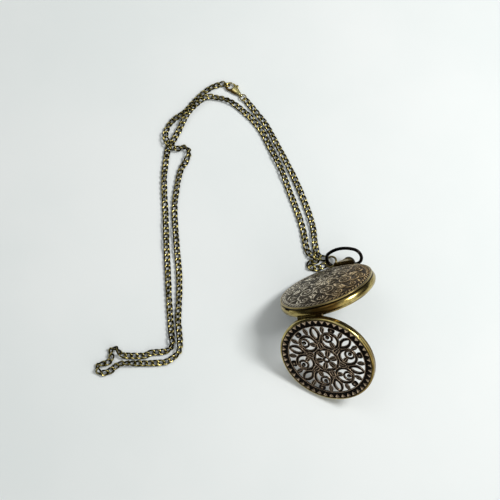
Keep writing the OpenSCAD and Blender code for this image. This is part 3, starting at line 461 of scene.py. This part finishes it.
def rounded(corners, radius, steps=5):
    """Closed outline with each corner cut by an arc: points on a quadratic curve from side to side,
    which start the radius, or 0.45 of the shorter side, before the corner."""
    c = np.asarray(corners, float)
    before, after = np.roll(c, 1, 0) - c, np.roll(c, -1, 0) - c
    side = np.minimum(np.linalg.norm(before, axis=1), np.linalg.norm(after, axis=1))
    cut = np.minimum(radius, 0.45 * side)[:, None]
    a, b = c + unit(before) * cut, c + unit(after) * cut
    t = np.linspace(0, 1, steps)[None, :, None]
    return ((1 - t) ** 2 * a[:, None] + 2 * t * (1 - t) * c[:, None] + t**2 * b[:, None]).reshape(-1, 2)


def round_bead(r, middle, half):
    """Section of a round bead: the root of 1 - ((r - middle) / half) squared, and 0 outside it."""
    return np.sqrt(np.clip(1 - ((r - middle) / half) ** 2, 0, 1))


def spiral(x, y, start, r0, r1, turns):
    """Volute round (x, y): angle start + 2 pi turns t, radius from r0 to r1."""
    t = np.linspace(0, 1, 60)
    a = start + 2 * np.pi * turns * t
    r = r0 + (r1 - r0) * t
    return np.stack([x + r * np.cos(a), y + r * np.sin(a)], -1)


def bend(a, b, c):
    """Quadratic curve from a to c, drawn towards b."""
    t = np.linspace(0, 1, 40)[:, None]
    return (1 - t) ** 2 * np.array(a) + 2 * t * (1 - t) * np.array(b) + t**2 * np.array(c)


def strand(line, w0, w1):
    """Strand of scrollwork: points of a line with a half-width going from w0 to w1."""
    return np.column_stack([line, np.linspace(w0, w1, len(line))])


def swollen(line, w):
    """Leaf: a line whose half-width swells to w and closes again, as sin(pi t) to the power 0.7."""
    return np.column_stack([line, 0.04 + w * np.sin(np.linspace(0, np.pi, len(line))) ** 0.7])


def raised(x, y, strands, count):
    """Over the strands, turned count times: the highest root of 1 - (d / w) squared, for the distance
    d to a strand and its half-width w, and the gap d - w to the nearest."""
    marks = np.vstack(strands)
    step = 2 * np.pi / count
    sector = (np.arctan2(y, x) + step / 2) % step - step / 2
    r, shape = np.hypot(x, y), x.shape
    x, y = r * np.cos(sector), r * np.sin(sector)
    x, y = x.ravel().astype(np.float32), y.ravel().astype(np.float32)
    turned = []
    for k in (-1, 0, 1):
        c, s = np.cos(k * step), np.sin(k * step)
        turned.append(np.column_stack([marks[:, 0] * c - marks[:, 1] * s,
                                       marks[:, 0] * s + marks[:, 1] * c, marks[:, 2]]))
    mx, my, mw = np.vstack(turned).astype(np.float32).T
    high, gap = np.empty(len(x), np.float32), np.empty(len(x), np.float32)
    for i in range(0, len(x), 4000):
        d2 = (x[i:i + 4000, None] - mx) ** 2 + (y[i:i + 4000, None] - my) ** 2
        high[i:i + 4000] = np.sqrt(np.maximum(1 - d2 / mw**2, 0)).max(1)
        gap[i:i + 4000] = (np.sqrt(d2) - mw).min(1)
    return high.reshape(shape), np.maximum(gap, 0).reshape(shape)


garland = [
    strand(spiral(10.6, 0.6, 3.4, 3.9, 0.5, 1.75), 0.42, 0.26),
    strand(bend((2.9, -1.1), (5.2, -2.6), (6.8, -0.6)), 0.3, 0.42),
    strand(spiral(16.0, -4.6, 1.2, 2.2, 0.3, -1.5), 0.32, 0.2),
    strand(bend((14.4, 1.2), (17.5, 0.4), (16.7, -2.5)), 0.36, 0.32),
    strand(spiral(16.3, 4.5, 4.2, 1.8, 0.3, 1.3), 0.3, 0.2),
    swollen(bend((11.2, 5.2), (12.4, 7.0), (14.6, 7.4)), 0.55),
    swollen(bend((10.6, 5.6), (11.0, 7.6), (13.2, 8.9)), 0.4),
    swollen(bend((7.2, 4.2), (7.6, 6.0), (9.6, 7.2)), 0.5),
    swollen(bend((12.8, -4.2), (12.6, -6.4), (14.3, -8.2)), 0.5),
    swollen(bend((11.8, -4.4), (10.6, -5.8), (11.9, -7.6)), 0.4),
    swollen(bend((0.9, 0.5), (2.8, 1.9), (4.4, 1.3)), 0.5),
    swollen(bend((1.2, -0.2), (3.2, 0.6), (5.0, 0.2)), 0.35),
    swollen(bend((17.4, 0.6), (18.6, 1.4), (19.4, 3.0)), 0.38),
    swollen(bend((17.2, -1.4), (18.8, -1.6), (19.6, -3.4)), 0.38),
    swollen(bend((8.4, -4.4), (9.2, -5.4), (9.4, -6.9)), 0.4),
    swollen(bend((14.6, 8.6), (16.4, 8.2), (18.2, 6.6)), 0.4),
    swollen(bend((5.0, 3.6), (5.8, 3.0), (6.2, 1.6)), 0.3),
    swollen(bend((18.6, -5.4), (19.4, -4.0), (19.3, -2.0)), 0.3),
    strand(np.array([[0, 0], [0.01, 0]]), 0.9, 0.9),
]
leaf = swollen(bend((20.4, -0.85), (20.8, 0.1), (21.4, 0.85)), 0.32)


def back_sheet(r, height):
    """Polar grid of a dome, part of a ball, sunk by the relief's depth where the height is 0 and
    not where it is 1, and closed by its inner face, which is plain. The height is its relief."""
    rows, columns = np.append(r, np.linspace(r[-1], r[0], 9)), 640
    inner = np.arange(len(rows))[:, None] >= len(r)
    r, a = np.meshgrid(rows, full_turn(columns), indexing="ij")
    ball = (dome_r**2 + dome_rise**2) / (2 * dome_rise)
    dome = np.sqrt(ball**2 - r**2) - (ball - dome_rise)
    x, y = r * np.cos(a), r * np.sin(a)
    high = np.where(inner, 0, np.clip(height(x, y, r), 0, 1))
    sunk = np.where(inner, back_wall, relief_deep * (1 - high) * (r < plain_r))
    p = np.stack([x, y, back_low - dome + sunk], -1)
    return on_watch(p), quads(len(rows), columns, rows[0] > 0, True), high


def scrollwork(x, y, r):
    """Scrolls 1 high, and round them engraved lines that follow them, 0.8 apart:
    0.08 + 0.5 sin squared of (pi gap / 0.8)."""
    high, gap = raised(x, y, garland, repeat)
    lines = 0.08 + 0.5 * np.sin(np.pi * gap / 0.8) ** 2
    scrolls = 0.35 * (high > 0) + 0.65 * high
    return np.maximum.reduce([scrolls, lines, 0.8 * round_bead(r, scroll_r, 0.2)])


def leaf_border(x, y, r):
    """Slanted leaves between the bead round the scrollwork and the plain bead at the edge."""
    high, gap = raised(x, y, [leaf], leaves)
    beads = [0.8 * round_bead(r, scroll_r, 0.2), 0.9 * round_bead(r, 22.05, 0.5)]
    return np.maximum.reduce([high, 0.4 - gap * 2, *beads])


scroll_rows, border_rows = scroll_r * np.linspace(0, 1, 142) ** 0.85, np.linspace(scroll_r, dome_r, 36)
back_edge = rounded([(21.0, back_top), (back_r, back_top), (back_r, back_low + 0.1),
                     (22.45, back_low - 0.02), (21.8, back_low - 0.1), (21.0, -4.2)], 0.22)
back_scrolls = make_piece("back_scrollwork", [back_sheet(scroll_rows, scrollwork)], "case")
back_border = make_piece("back_border", [back_sheet(border_rows, leaf_border)], "case")
back_rim = make_piece("back_rim", [(on_watch(lathe(back_edge)),
                                    quads(len(back_edge), 256, True, True), 0.5)], "case")
for piece in (back_scrolls, back_border, back_rim):
    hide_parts("back_cover")
# The relief is toned browner and darker towards the right and the front.
paint(antique_metal("bronze_relief", (0.008, 0.006, 0.004), (0.10, 0.077, 0.048), (0.86, 0.77, 0.61),
                    toning=0.9, roughness=0.33, grain=0.9, grain_size=2200.0,
                    darkening=[((0.85, -0.5, 0), -14, 6)], darkening_colour=(0.90, 0.67, 0.37)),
      "back_scrollwork", "back_border")
paint(antique_metal("bronze_edge", (0.02, 0.015, 0.008), (0.24, 0.18, 0.07), (0.78, 0.64, 0.30),
                    relief=0.6, turned=watch_axis, toning=0.5, roughness=0.25,
                    rubbed=[("Radius", 22.2, 22.6, 0.3, 0.8), ("Height", -4.7, -4.0, 0.8, 0.05)]),
      "back_rim")


# Case band, bezel and lid rim. Turned from brass, plated a warm gold and polished where they are
# handled. The middle of the band, in front, is toned brown as a painted dark reflection of the lid,
# and the lid rim is toned darker towards its right side.
gold = dict(low=(0.016, 0.012, 0.005), middle=(0.23, 0.17, 0.05), high=(0.82, 0.68, 0.28), toning=0.36,
            roughness=0.2, grain=0.06)
# Painted dark reflection: the band is darkened in its front middle, towards the open lid.
paint(antique_metal("band_gold", turned=watch_axis, relief=0.62,
                    rubbed=[("Radius", 22.4, 23.2, 0.1, 0.75)],
                    darkening=[((1, 0, 0), -12, -7), ((1, 0, 0), 7, 2), ((0, 1, 0), 24, 14)],
                    darkening_colour=(0.30, 0.22, 0.15), **gold), "case_middle")
paint(antique_metal("bezel_gold", turned=watch_axis, relief=0.55,
                    rubbed=[("Radius", 19.6, 20.2, 0.2, 0.7)], **gold), "bezel")
# The lid rim is toned darker towards its right side.
paint(antique_metal("lid_gold", turned=lid_axis, relief=0.70,
                    rubbed=[("Radius", 21.9, 22.4, 0.0, 0.85), ("Height", 0.2, 2.6, 0.35, 0.85)],
                    darkening=[((1, -0.25, 0), 15, 24)], darkening_colour=(0.50, 0.43, 0.32), **gold),
      "lid_rim")


# Pendant, crown and hinge pin. The flared neck is soldered to the band, the fluted crown turns and
# slides in it on its stem, and the same brass makes the tube, the latch and the hinge's pin.
paint(antique_metal("stem_bronze", (0.015, 0.010, 0.004), (0.20, 0.145, 0.058), (0.78, 0.62, 0.30),
                    relief=0.54, toning=0.95, roughness=0.2, grain=0.12),
      "hinge_pin", "pendant", "crown_tube", "latch")
paint(antique_metal("crown_bronze", (0.010, 0.007, 0.003), (0.06, 0.042, 0.018), (0.62, 0.48, 0.2),
                    relief=0.38, toning=0.6, roughness=0.16, grain=0.06), "crown")


# Bow. Round brass wire, bent to a loop, blackened all over and sprung into two holes in the pendant.
def softened(name, node, body, edge=0.0):
    """Copy of a CAD node, its doubled corners joined, its sharp edges rounded off by the edge's width
    in millimetres and all of it shaded smooth, that takes the node's place."""
    shape = bmesh.new()
    shape.from_mesh(frame["nodes"][node].data)
    bmesh.ops.remove_doubles(shape, verts=shape.verts, dist=1e-6)
    bmesh.ops.dissolve_limit(shape, angle_limit=0.01, verts=shape.verts, edges=shape.edges)
    mesh = bpy.data.meshes.new(name)
    shape.to_mesh(mesh)
    shape.free()
    mesh.polygons.foreach_set("use_smooth", np.ones(len(mesh.polygons), bool))
    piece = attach(bpy.data.objects.new(name, mesh), body)
    bpy.context.scene.collection.objects.link(piece)
    if edge:
        soft = piece.modifiers.new("soft_edge", "BEVEL")
        soft.width, soft.segments = edge / 1000, 3
        soft.use_clamp_overlap, soft.harden_normals = False, True
    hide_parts(node)
    return piece


softened("bow_wire", "bow", "bow")
paint(antique_metal("bow_black", (0.004, 0.0035, 0.003), (0.013, 0.011, 0.009), (0.24, 0.20, 0.15),
                    relief=0.4, toning=0.6, roughness=0.13), "bow_wire")


# Lid openwork. One casting: a rosette, six volutes and leaves inside a border of small pyramids,
# every strand edged with a fine raised line. It is soldered into the lid's rim.
grille_z, inner_r, outer_r, tip_r = 2.45, 18.55, 21.95, 18.85
strand_floor, line_rise = 0.38, 0.19
half_edged = [[-1, 0], [-1, 0.42], [-0.95, 0.55], [-0.87, 0.58], [-0.8, 0.54], [-0.74, 0.43],
              [-0.4, 0.40], [0, 0.39]]
half_veined = [[-1, 0], [-1, 0.42], [-0.95, 0.55], [-0.88, 0.58], [-0.82, 0.54], [-0.76, 0.42],
               [-0.3, 0.42], [-0.1, 0.5], [0, 0.58]]


def both_sides(half):
    """Section of a strand from its left half: the same points mirrored to the right."""
    left = np.array(half, float)
    return np.vstack([left, left[-2::-1] * [-1, 1]])


edged, veined = both_sides(half_edged), both_sides(half_veined)


def cast_between(left, right, profile, closed):
    """Strand between two edges: across it, from its middle towards the left by the profile's x, and
    the profile's z above the back. An open strand is closed by a tip at either end."""
    p = (left + right)[:, None] / 2 + (left - right)[:, None] / 2 * profile[:, :1]
    z = grille_z + profile[:, 1] + 0 * p[..., 0]
    relief = np.clip((profile[:, 1] - strand_floor) / line_rise, 0, 1) + 0 * z
    sheet = np.dstack([p, z])
    if not closed:
        tips = sheet[[0, -1]].mean(1, keepdims=True) + 0 * sheet[[0, -1]]
        sheet = np.concatenate([tips[:1], sheet, tips[1:]])
        relief = np.pad(relief, ((1, 1), (0, 0)))
    return sheet, quads(len(sheet), len(profile), closed, True), relief


def casting(line, half, profile, closed):
    """Strand whose edges lie the half-width to either side of its line."""
    ahead = np.roll(line, -1, 0) - np.roll(line, 1, 0) if closed else np.gradient(line, axis=0)
    ahead = unit(ahead)
    out = np.stack([-ahead[:, 1], ahead[:, 0]], -1) * np.reshape(half, (-1, 1))
    return cast_between(line + out, line - out, profile, closed)


def hoop(r, half, n=72):
    """Closed strand along a circle of radius r, the half-width to either side."""
    a = full_turn(n)
    return casting(np.stack([r * np.cos(a), r * np.sin(a)], -1), half, edged, True)


def leaf_half(x, a, b, w):
    """Half-width at x of the leaf that two arcs of radius r make between a and b, w wide: the root of
    r squared - (x - middle) squared, less r - w / 2."""
    half = (b - a) / 2
    r = (half**2 + w**2 / 4) / w
    return np.sqrt(np.maximum(r**2 - (x - (a + b) / 2) ** 2, 0)) - (r - w / 2)


def leaf_strand(a, b, w, n=26):
    """Leaf along X from a to b with a vein down its middle."""
    x = a + (b - a) * (1 - np.cos(np.linspace(0, np.pi, n))) / 2
    half = np.maximum(leaf_half(x, a, b, w), 0.02)
    return casting(np.stack([x, 0 * x], -1), half, veined, False)


def leaf_outline(a, b, w, n=44):
    """Outline of the leaf a, b, w: x = middle - half cos t, y = plus or minus its half-width there."""
    t = full_turn(n)
    x = (a + b) / 2 - (b - a) / 2 * np.cos(t)
    return np.stack([x, np.sign(np.sin(t)) * leaf_half(x, a, b, w)], -1)


def stud(r, n=24):
    """Round bead on a plain foot: z = foot + rise times the root of 1 - q squared, for q from 0 at its
    middle to 1 at its edge."""
    foot_high, rise = 0.3, 0.3
    q, a = np.sin(np.linspace(0, np.pi / 2, 7))[:, None], full_turn(n)
    p = np.stack([r * q * np.cos(a), r * q * np.sin(a),
                  grille_z + foot_high + rise * np.sqrt(1 - q**2) + 0 * a], -1)
    foot = p[-1:] * [1, 1, 0] + [0, 0, grille_z]
    p = np.concatenate([p, foot, foot * [0, 0, 1]])
    relief = np.clip(0.9 - 1.2 * np.append(q, [1, 1])[:, None], 0, 1) + 0 * a
    return p, quads(len(p), n, False, True), relief


def moved(sheet, degrees, x=0.0):
    """A sheet turned about Z and then moved along X."""
    p, f, h = sheet
    return p @ turn("Z", degrees).T + [x, 0, 0], f, h


def border():
    """Ring with 44 pyramids that point inwards, a bead between each two of them, a round lip inside
    and a plain brim outside. Pyramid: (0.44 depth - |u|) / 0.3, where u goes from -0.5 to 0.5."""
    parts, cols, base, rise = 44, 44 * 14, 0.26, 0.33
    lip_r, bead_r, point_r, brim_r = inner_r + 0.22, inner_r + 0.95, inner_r + 1.1, outer_r - 0.3
    r = np.concatenate([np.linspace(inner_r, inner_r + 0.5, 6),
                        np.linspace(inner_r + 0.58, outer_r, 24)])
    rr, aa = np.meshgrid(r, full_turn(cols), indexing="ij")
    u = (aa * parts / (2 * np.pi) + 0.5) % 1 - 0.5
    depth = np.clip((rr - point_r) / (outer_r - 0.35 - point_r), 0, 1)
    facet = np.clip((0.44 * depth - np.abs(u)) / 0.3, 0, 1) * (rr < brim_r)
    across = (np.abs(u) - 0.5) * 2 * np.pi / parts * rr
    bead = round_bead(np.hypot(across, rr - bead_r), 0, 0.36)
    lip = round_bead(rr, lip_r, 0.24)
    brim = np.clip((rr - brim_r) / 0.06, 0, 1)
    lift = np.maximum.reduce([facet, 0.9 * bead, lip, brim])
    tone = np.maximum.reduce([np.clip(facet * 2.5, 0, 1), 0.35 * bead, 0.9 * lip**2, 0.55 * brim])
    top = np.dstack([rr * np.cos(aa), rr * np.sin(aa), grille_z + base + rise * lift])
    foot = top[[0, -1]] * [1, 1, 0] + [0, 0, grille_z]
    p = np.concatenate([foot[:1], top, foot[1:]])
    return p, quads(len(p), cols, True, True), np.pad(tone, ((1, 1), (0, 0)))


def openwork():
    """All the castings of the lid's pattern, repeated round it, in the closed lid's frame."""
    bar = casting(np.array([[2.2, 0], [3.9, 0]]), 0.4, edged * [1, 0.7], False)
    volute = [hoop(4.15, 0.75), moved(hoop(2.15, 0.55, 48), 0, 1.8), moved(stud(1.0), 0, 2.0), bar,
              moved(leaf_strand(0.5, 4.5, 2.4), 180)]
    pierced = cast_between(leaf_outline(10.4, tip_r, 5.2), leaf_outline(12.2, 17.65, 2.1), edged, True)
    sprays = [leaf_strand(5.6, 10.2, 3.0), moved(stud(1.5), 0, 9.7), pierced]
    part = [leaf_strand(1.4, 6.3, 2.8), moved(stud(1.7), 0, 17.325)]
    part += [moved(v, 40, 11.2) for v in volute]
    part += [moved(leaf_strand(14.8, tip_r, 2.2), side) for side in (-15, 15)]
    part += [moved(v, 30) for v in sprays]
    sheets = [border(), hoop(1.3, 0.6, 32), hoop(5.85, 0.75)]
    sheets += [moved(v, 360 / repeat * k) for v in part for k in range(repeat)]
    return [(on_lid(p), f, h) for p, f, h in sheets]


grille = make_piece("lid_openwork", openwork(), "lid")
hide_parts("lid_grille")
paint(antique_metal("bronze_openwork", (0.007, 0.005, 0.0035), (0.028, 0.019, 0.014),
                    (0.52, 0.39, 0.27), toning=0.3, roughness=0.33, grain=0.3), "lid_openwork")


# Clasp. A small lobster claw cast in brass: a rounded body that tapers to its tail eye, a hook with
# a fine tip, and a sprung lever on a pin that closes it. A ring joins its tail to the chain's short
# run, and its hook holds the ring at the end of the long one.
clasp_at = np.array([ring_at[0] - 52.5, ring_at[1] + 93.8, 1.2])
clasp_turn = turn("Z", -42.5)


def on_clasp(p):
    """The clasp's frame, its hook round the origin and its tail on +X, to millimetres on the table."""
    return p @ clasp_turn.T + clasp_at


def clasp_claw():
    """Body: cross-sections y = w |cos a| to the 0.8, z = h |sin a| to the 0.8, with their signs, at
    steps along X. Hook and tail eye: tubes round the hook's opening and round the eye's."""
    x = np.array([1.44, 1.45, 1.6, 2.0, 2.6, 3.4, 4.4, 5.4, 6.3, 7.0, 7.4, 7.41])
    w = np.array([0, 0.3, 1.5, 2.0, 2.12, 2.0, 1.72, 1.38, 1.02, 0.76, 0.4, 0])
    h = np.array([0, 0.3, 0.9, 1.1, 1.16, 1.15, 1.1, 0.98, 0.84, 0.72, 0.4, 0])
    a = full_turn(28)
    body = np.stack([x[:, None] + 0 * a, w[:, None] * squared(np.cos(a), 0.8),
                     h[:, None] * squared(np.sin(a), 0.8)], -1)

    inside, thickest = 1.55, 0.62
    degrees = np.concatenate([[95.5, 95.8, 96.5], np.linspace(98, 333, 40), [334.5, 335]])
    swing, around = np.radians(degrees), full_turn(12)[:, None]
    out = np.stack([np.cos(swing), np.sin(swing), 0 * swing], -1)
    wire = np.interp(degrees, [95.5, 95.8, 96.5, 98, 105, 180, 290, 333, 335],
                     [0, 0.1, 0.18, 0.25, 0.36, 0.46, 0.66, 0.6, 0])
    rise = np.minimum(wire * 1.3, thickest)[:, None, None] * np.sin(around)
    hook = out[:, None] * (inside + wire[:, None, None] * (1 + np.cos(around))) + rise * [0, 0, 1]

    eye, eye_x, eye_r, eye_wire = full_turn(28), 7.45, 0.82, 0.27
    out = np.stack([np.cos(eye), 0 * eye, np.sin(eye)], -1)
    tail = tube_along(out * eye_r + [eye_x, 0, 0], out, 0 * out + [0, 1, 0], eye_wire, 10)
    # Toned brighter the higher it stands in the clasp's frame: partly wear on top, partly a painted
    # highlight on top and painted shade on its sides.
    return [(on_clasp(p), quads(*p.shape[:2], closed, True), np.clip(0.55 + 0.35 * p[..., 2], 0, 1))
            for p, closed in ((body, False), (hook, False), (tail, True))]


claw = make_piece("clasp_claw", clasp_claw(), "case")
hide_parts("clasp_body")
softened("clasp_thumb_lever", "clasp_lever", "lever", 0.16)
brass = dict(low=(0.02, 0.014, 0.004), middle=(0.32, 0.25, 0.06), high=(0.94, 0.83, 0.38),
             toning=0.6, roughness=0.15, grain=0.05)
# Painted shade: the lower left side of the claw, away from the window light, is darkened.
paint(antique_metal("clasp_brass", darkening=[((-0.68, -0.73, 0), -58.0, -56.6)],
                    darkening_colour=(0.22, 0.16, 0.09), **brass), "clasp_claw")
paint(antique_metal("ring_brass", relief=0.5, **brass),
      "clasp_thumb_lever", "clasp_pin", "clasp_ring", "end_ring")


# Crystal and seals. A slightly domed mineral glass with the finest scratches, pressed into the
# bezel over a black rubber ring. A second ring seals the back.
mottled, take, give = new_group("mottled_finish", {
    "Colour": ("Color", (0, 0, 0, 1)), "Other colour": ("Color", (1, 1, 1, 1)),
    "Size": ("Float", 500.0), "Roughness": ("Float", 0.4), "Grain": ("Float", 0.0)},
    {"Color": "Color", "Roughness": "Float", "Normal": "Vector"})
speckle = add(mottled, "TexNoise", {"Vector": add(mottled, "TexCoord").outputs["Object"],
                                    "Scale": take["Size"], "Detail": 4.0}).outputs["Fac"]
tone = mixed(mottled, ramp(mottled, speckle, 0.35, 0.65), take["Colour"], take["Other colour"])
mottled.links.new(tone, give["Color"])
dull = ramp(mottled, speckle, 0.3, 0.7, -0.05, 0.07)
mottled.links.new(math_of(mottled, "ADD", take["Roughness"], dull), give["Roughness"])
bump = add(mottled, "Bump", {"Height": speckle, "Strength": take["Grain"], "Distance": 0.0001})
mottled.links.new(bump.outputs["Normal"], give["Normal"])


def plain_look(name, colour, other, roughness, size, grain=0.0, constants=()):
    """Material mottled between two colours, with constants for other sockets of its shader."""
    look, shader, finish = finished(name, mottled)
    finish["Colour"].default_value, finish["Other colour"].default_value = (*colour, 1), (*other, 1)
    finish["Size"].default_value = size
    finish["Roughness"].default_value, finish["Grain"].default_value = roughness, grain
    for label, value in constants:
        shader[label].default_value = value
    return look


paint(plain_look("crystal_glass", (0.96, 0.98, 0.98), (0.99, 1.0, 1.0), 0.06, 900.0, 0.02,
                 [("Transmission Weight", 1.0), ("IOR", 1.5)]), "crystal")
paint(plain_look("seal_rubber", (0.012, 0.012, 0.012), (0.03, 0.03, 0.032), 0.6, 1500.0, 0.3),
      "crystal_seal", "back_seal")


# Dial and hands. Off-white lacquer with printed Roman numerals and a minute track between two fine
# circles, under hands lacquered black.
print_z, print_t, bar_half = -1.70, 0.02, 1.6
numeral_r, tick_r, track_inner_r, track_outer_r, circle_half = 15.2, 19.3, 18.85, 19.75, 0.04
thick, fine_line, hair, tick_half, tick_thin, tick_wide = 0.36, 0.14, 0.12, 0.4, 0.1, 0.4


def stroke(x0, y0, x1, y1, w0, w1):
    """Printed bar between two points: four corners, w0 and w1 wide at its ends, cut level."""
    return [(x0 - w0 / 2, y0), (x0 + w0 / 2, y0), (x1 + w1 / 2, y1), (x1 - w1 / 2, y1)]


def numeral(text):
    """Bars of a Roman numeral, centred, made of the letters I, V and X between two fine serifs."""
    wide = {"I": 0.75, "V": 1.9, "X": 1.9}
    full = sum(wide[c] for c in text)
    x, bars, low, high = -full / 2, [], -bar_half, bar_half
    for c in text:
        m, w = x + wide[c] / 2, wide[c] / 2 - 0.1
        if c == "I":
            bars.append(stroke(m, low, m, high, thick, thick))
        if c == "V":
            bars += [stroke(m, low, m - w + 0.2, high, fine_line, thick),
                     stroke(m, low, m + w - 0.1, high, hair, hair)]
        if c == "X":
            bars += [stroke(m + w - 0.2, low, m - w + 0.2, high, thick, thick),
                     stroke(m - w + 0.1, low, m + w - 0.1, high, hair, hair)]
        x += wide[c]
    serif = full - 0.1
    return bars + [stroke(0, y - hair / 2, 0, y + hair / 2, serif, serif) for y in (low, high)]


def dial_print():
    """Bars as thin blocks: a numeral each 30 degrees and a tick each 6, every fifth of them wide. The
    two circles are turned."""
    names = ["XII", "I", "II", "III", "IV", "V", "VI", "VII", "VIII", "IX", "X", "XI"]
    marks = [(30 * k, numeral_r, numeral(name)) for k, name in enumerate(names)]
    for k in range(60):
        w = tick_thin if k % 5 else tick_wide
        marks.append((6 * k, tick_r, [stroke(0, -tick_half, 0, tick_half, w, w)]))
    corners = np.concatenate([(np.array(bars) + [0, r]) @ turn("Z", -angle)[:2, :2].T
                              for angle, r, bars in marks])
    low = np.dstack([corners, np.full(corners.shape[:2], print_z)])
    block = np.concatenate([low, low + [0, 0, print_t]], 1).reshape(-1, 3)
    box = np.array([[4, 5, 6, 7], [3, 2, 1, 0], [0, 1, 5, 4], [1, 2, 6, 5], [2, 3, 7, 6], [3, 0, 4, 7]])
    faces = (box[None] + 8 * np.arange(len(corners))[:, None, None]).reshape(-1, 4)
    sheets = [(on_watch(block), faces, 0.5)]
    top = print_z + print_t
    for r in (track_inner_r, track_outer_r):
        near, far = r - circle_half, r + circle_half
        loop = lathe([(near, print_z), (far, print_z), (far, top), (near, top)], 180)
        sheets.append((on_watch(loop), quads(4, 180, True, True), 0.5))
    return sheets


printing = make_piece("dial_printing", dial_print(), "case", merge=False)
paint(plain_look("dial_lacquer", (0.86, 0.85, 0.80), (0.90, 0.89, 0.85), 0.25, 300.0, 0.02), "dial")
paint(plain_look("black_lacquer", (0.010, 0.010, 0.011), (0.022, 0.022, 0.022), 0.22, 800.0, 0.03),
      "dial_printing", "hour_hand", "minute_hand", "second_hand")


# Works. A small quartz movement: brass plates and wheels, steel screws, clip and stem, a copper coil
# on its board, a button cell and a white moulded holder round it all.
paint(antique_metal("works_brass", (0.30, 0.21, 0.08), (0.66, 0.53, 0.27), (0.80, 0.68, 0.40),
                    relief=0.6, toning=0.3, roughness=0.28, grain=0.1),
      "main_plate", "train_bridge", "fifth_wheel", "seconds_wheel", "third_wheel", "center_wheel",
      "minute_wheel", "hour_wheel")
paint(antique_metal("works_steel", (0.18, 0.18, 0.19), (0.52, 0.52, 0.53), (0.74, 0.74, 0.75),
                    relief=0.6, toning=0.3, roughness=0.26, grain=0.08),
      "bridge_screws", "stator", "button_cell", "cell_clip", "stem", "clutch_wheel", "lift_spring",
      "rotor")
paint(plain_look("holder_plastic", (0.80, 0.80, 0.77), (0.86, 0.86, 0.84), 0.45, 500.0, 0.05),
      "movement_holder")
paint(plain_look("board_green", (0.02, 0.14, 0.06), (0.03, 0.20, 0.08), 0.35, 700.0, 0.1),
      "circuit_board")
paint(plain_look("coil_copper", (0.50, 0.20, 0.08), (0.70, 0.34, 0.16), 0.3, 3000.0, 0.6,
                 [("Metallic", 1.0)]), "coil")


# Table top. A plain pale sheet, a little uneven in tone, that carries the shadows.
half_floor = 3
floor_data = bpy.data.meshes.new("table_top")
floor_data.from_pydata([(x * half_floor, y * half_floor, 0) for x, y in
                        ((-1, -1), (1, -1), (1, 1), (-1, 1))], [], [(0, 1, 2, 3)])
floor = bpy.data.objects.new("table_top", floor_data)
bpy.context.scene.collection.objects.link(floor)
floor_data.materials.append(
    plain_look("pale_table", (0.725, 0.76, 0.75), (0.765, 0.79, 0.78), 0.7, 9.0))


# Light. A soft window at the right, a weaker and wider lamp at the far left, and a pale room.
def lamp(name, place, size, power):
    """Square soft light that faces the watch."""
    data = bpy.data.lights.new(name, "AREA")
    data.size, data.energy = size, power
    light = bpy.data.objects.new(name, data)
    bpy.context.scene.collection.objects.link(light)
    light.location = place
    light.rotation_mode = "QUATERNION"
    light.rotation_quaternion = (Vector((0, 0.02, 0)) - Vector(place)).to_track_quat("-Z", "Y")


lamp("window_light", (0.42, 0.12, 0.64), 0.24, 4.6)
lamp("fill_light", (-0.3, 0.3, 0.8), 0.5, 0.7)

# The room is pale overhead and dim towards the horizon, so that polished metal shows contrast, with
# a bright patch in front, at the right, that the band mirrors.
room = bpy.data.worlds.new("room")
bpy.context.scene.world = room
room.use_nodes = True
sky = room.node_tree
facing = add(sky, "TexCoord").outputs["Generated"]
upward = ramp(sky, add(sky, "SeparateXYZ", {"Vector": facing}).outputs[2], 0.30, 0.85)
patch = add(sky, "VectorMath", {0: facing, 1: (0.55, -0.64, 0.53)}, operation="DOT_PRODUCT")
sky_tone = mixed(sky, upward, (0.06, 0.06, 0.065, 1), (0.95, 0.98, 1.0, 1))
sky_tone = mixed(sky, ramp(sky, patch.outputs["Value"], 0.70, 0.96), sky_tone, (3.2, 3.2, 3.05, 1))
sky.links.new(sky_tone, sky.nodes["Background"].inputs["Color"])
sky.nodes["Background"].inputs["Strength"].default_value = 0.40
bpy.context.scene.view_settings.view_transform = "Standard"
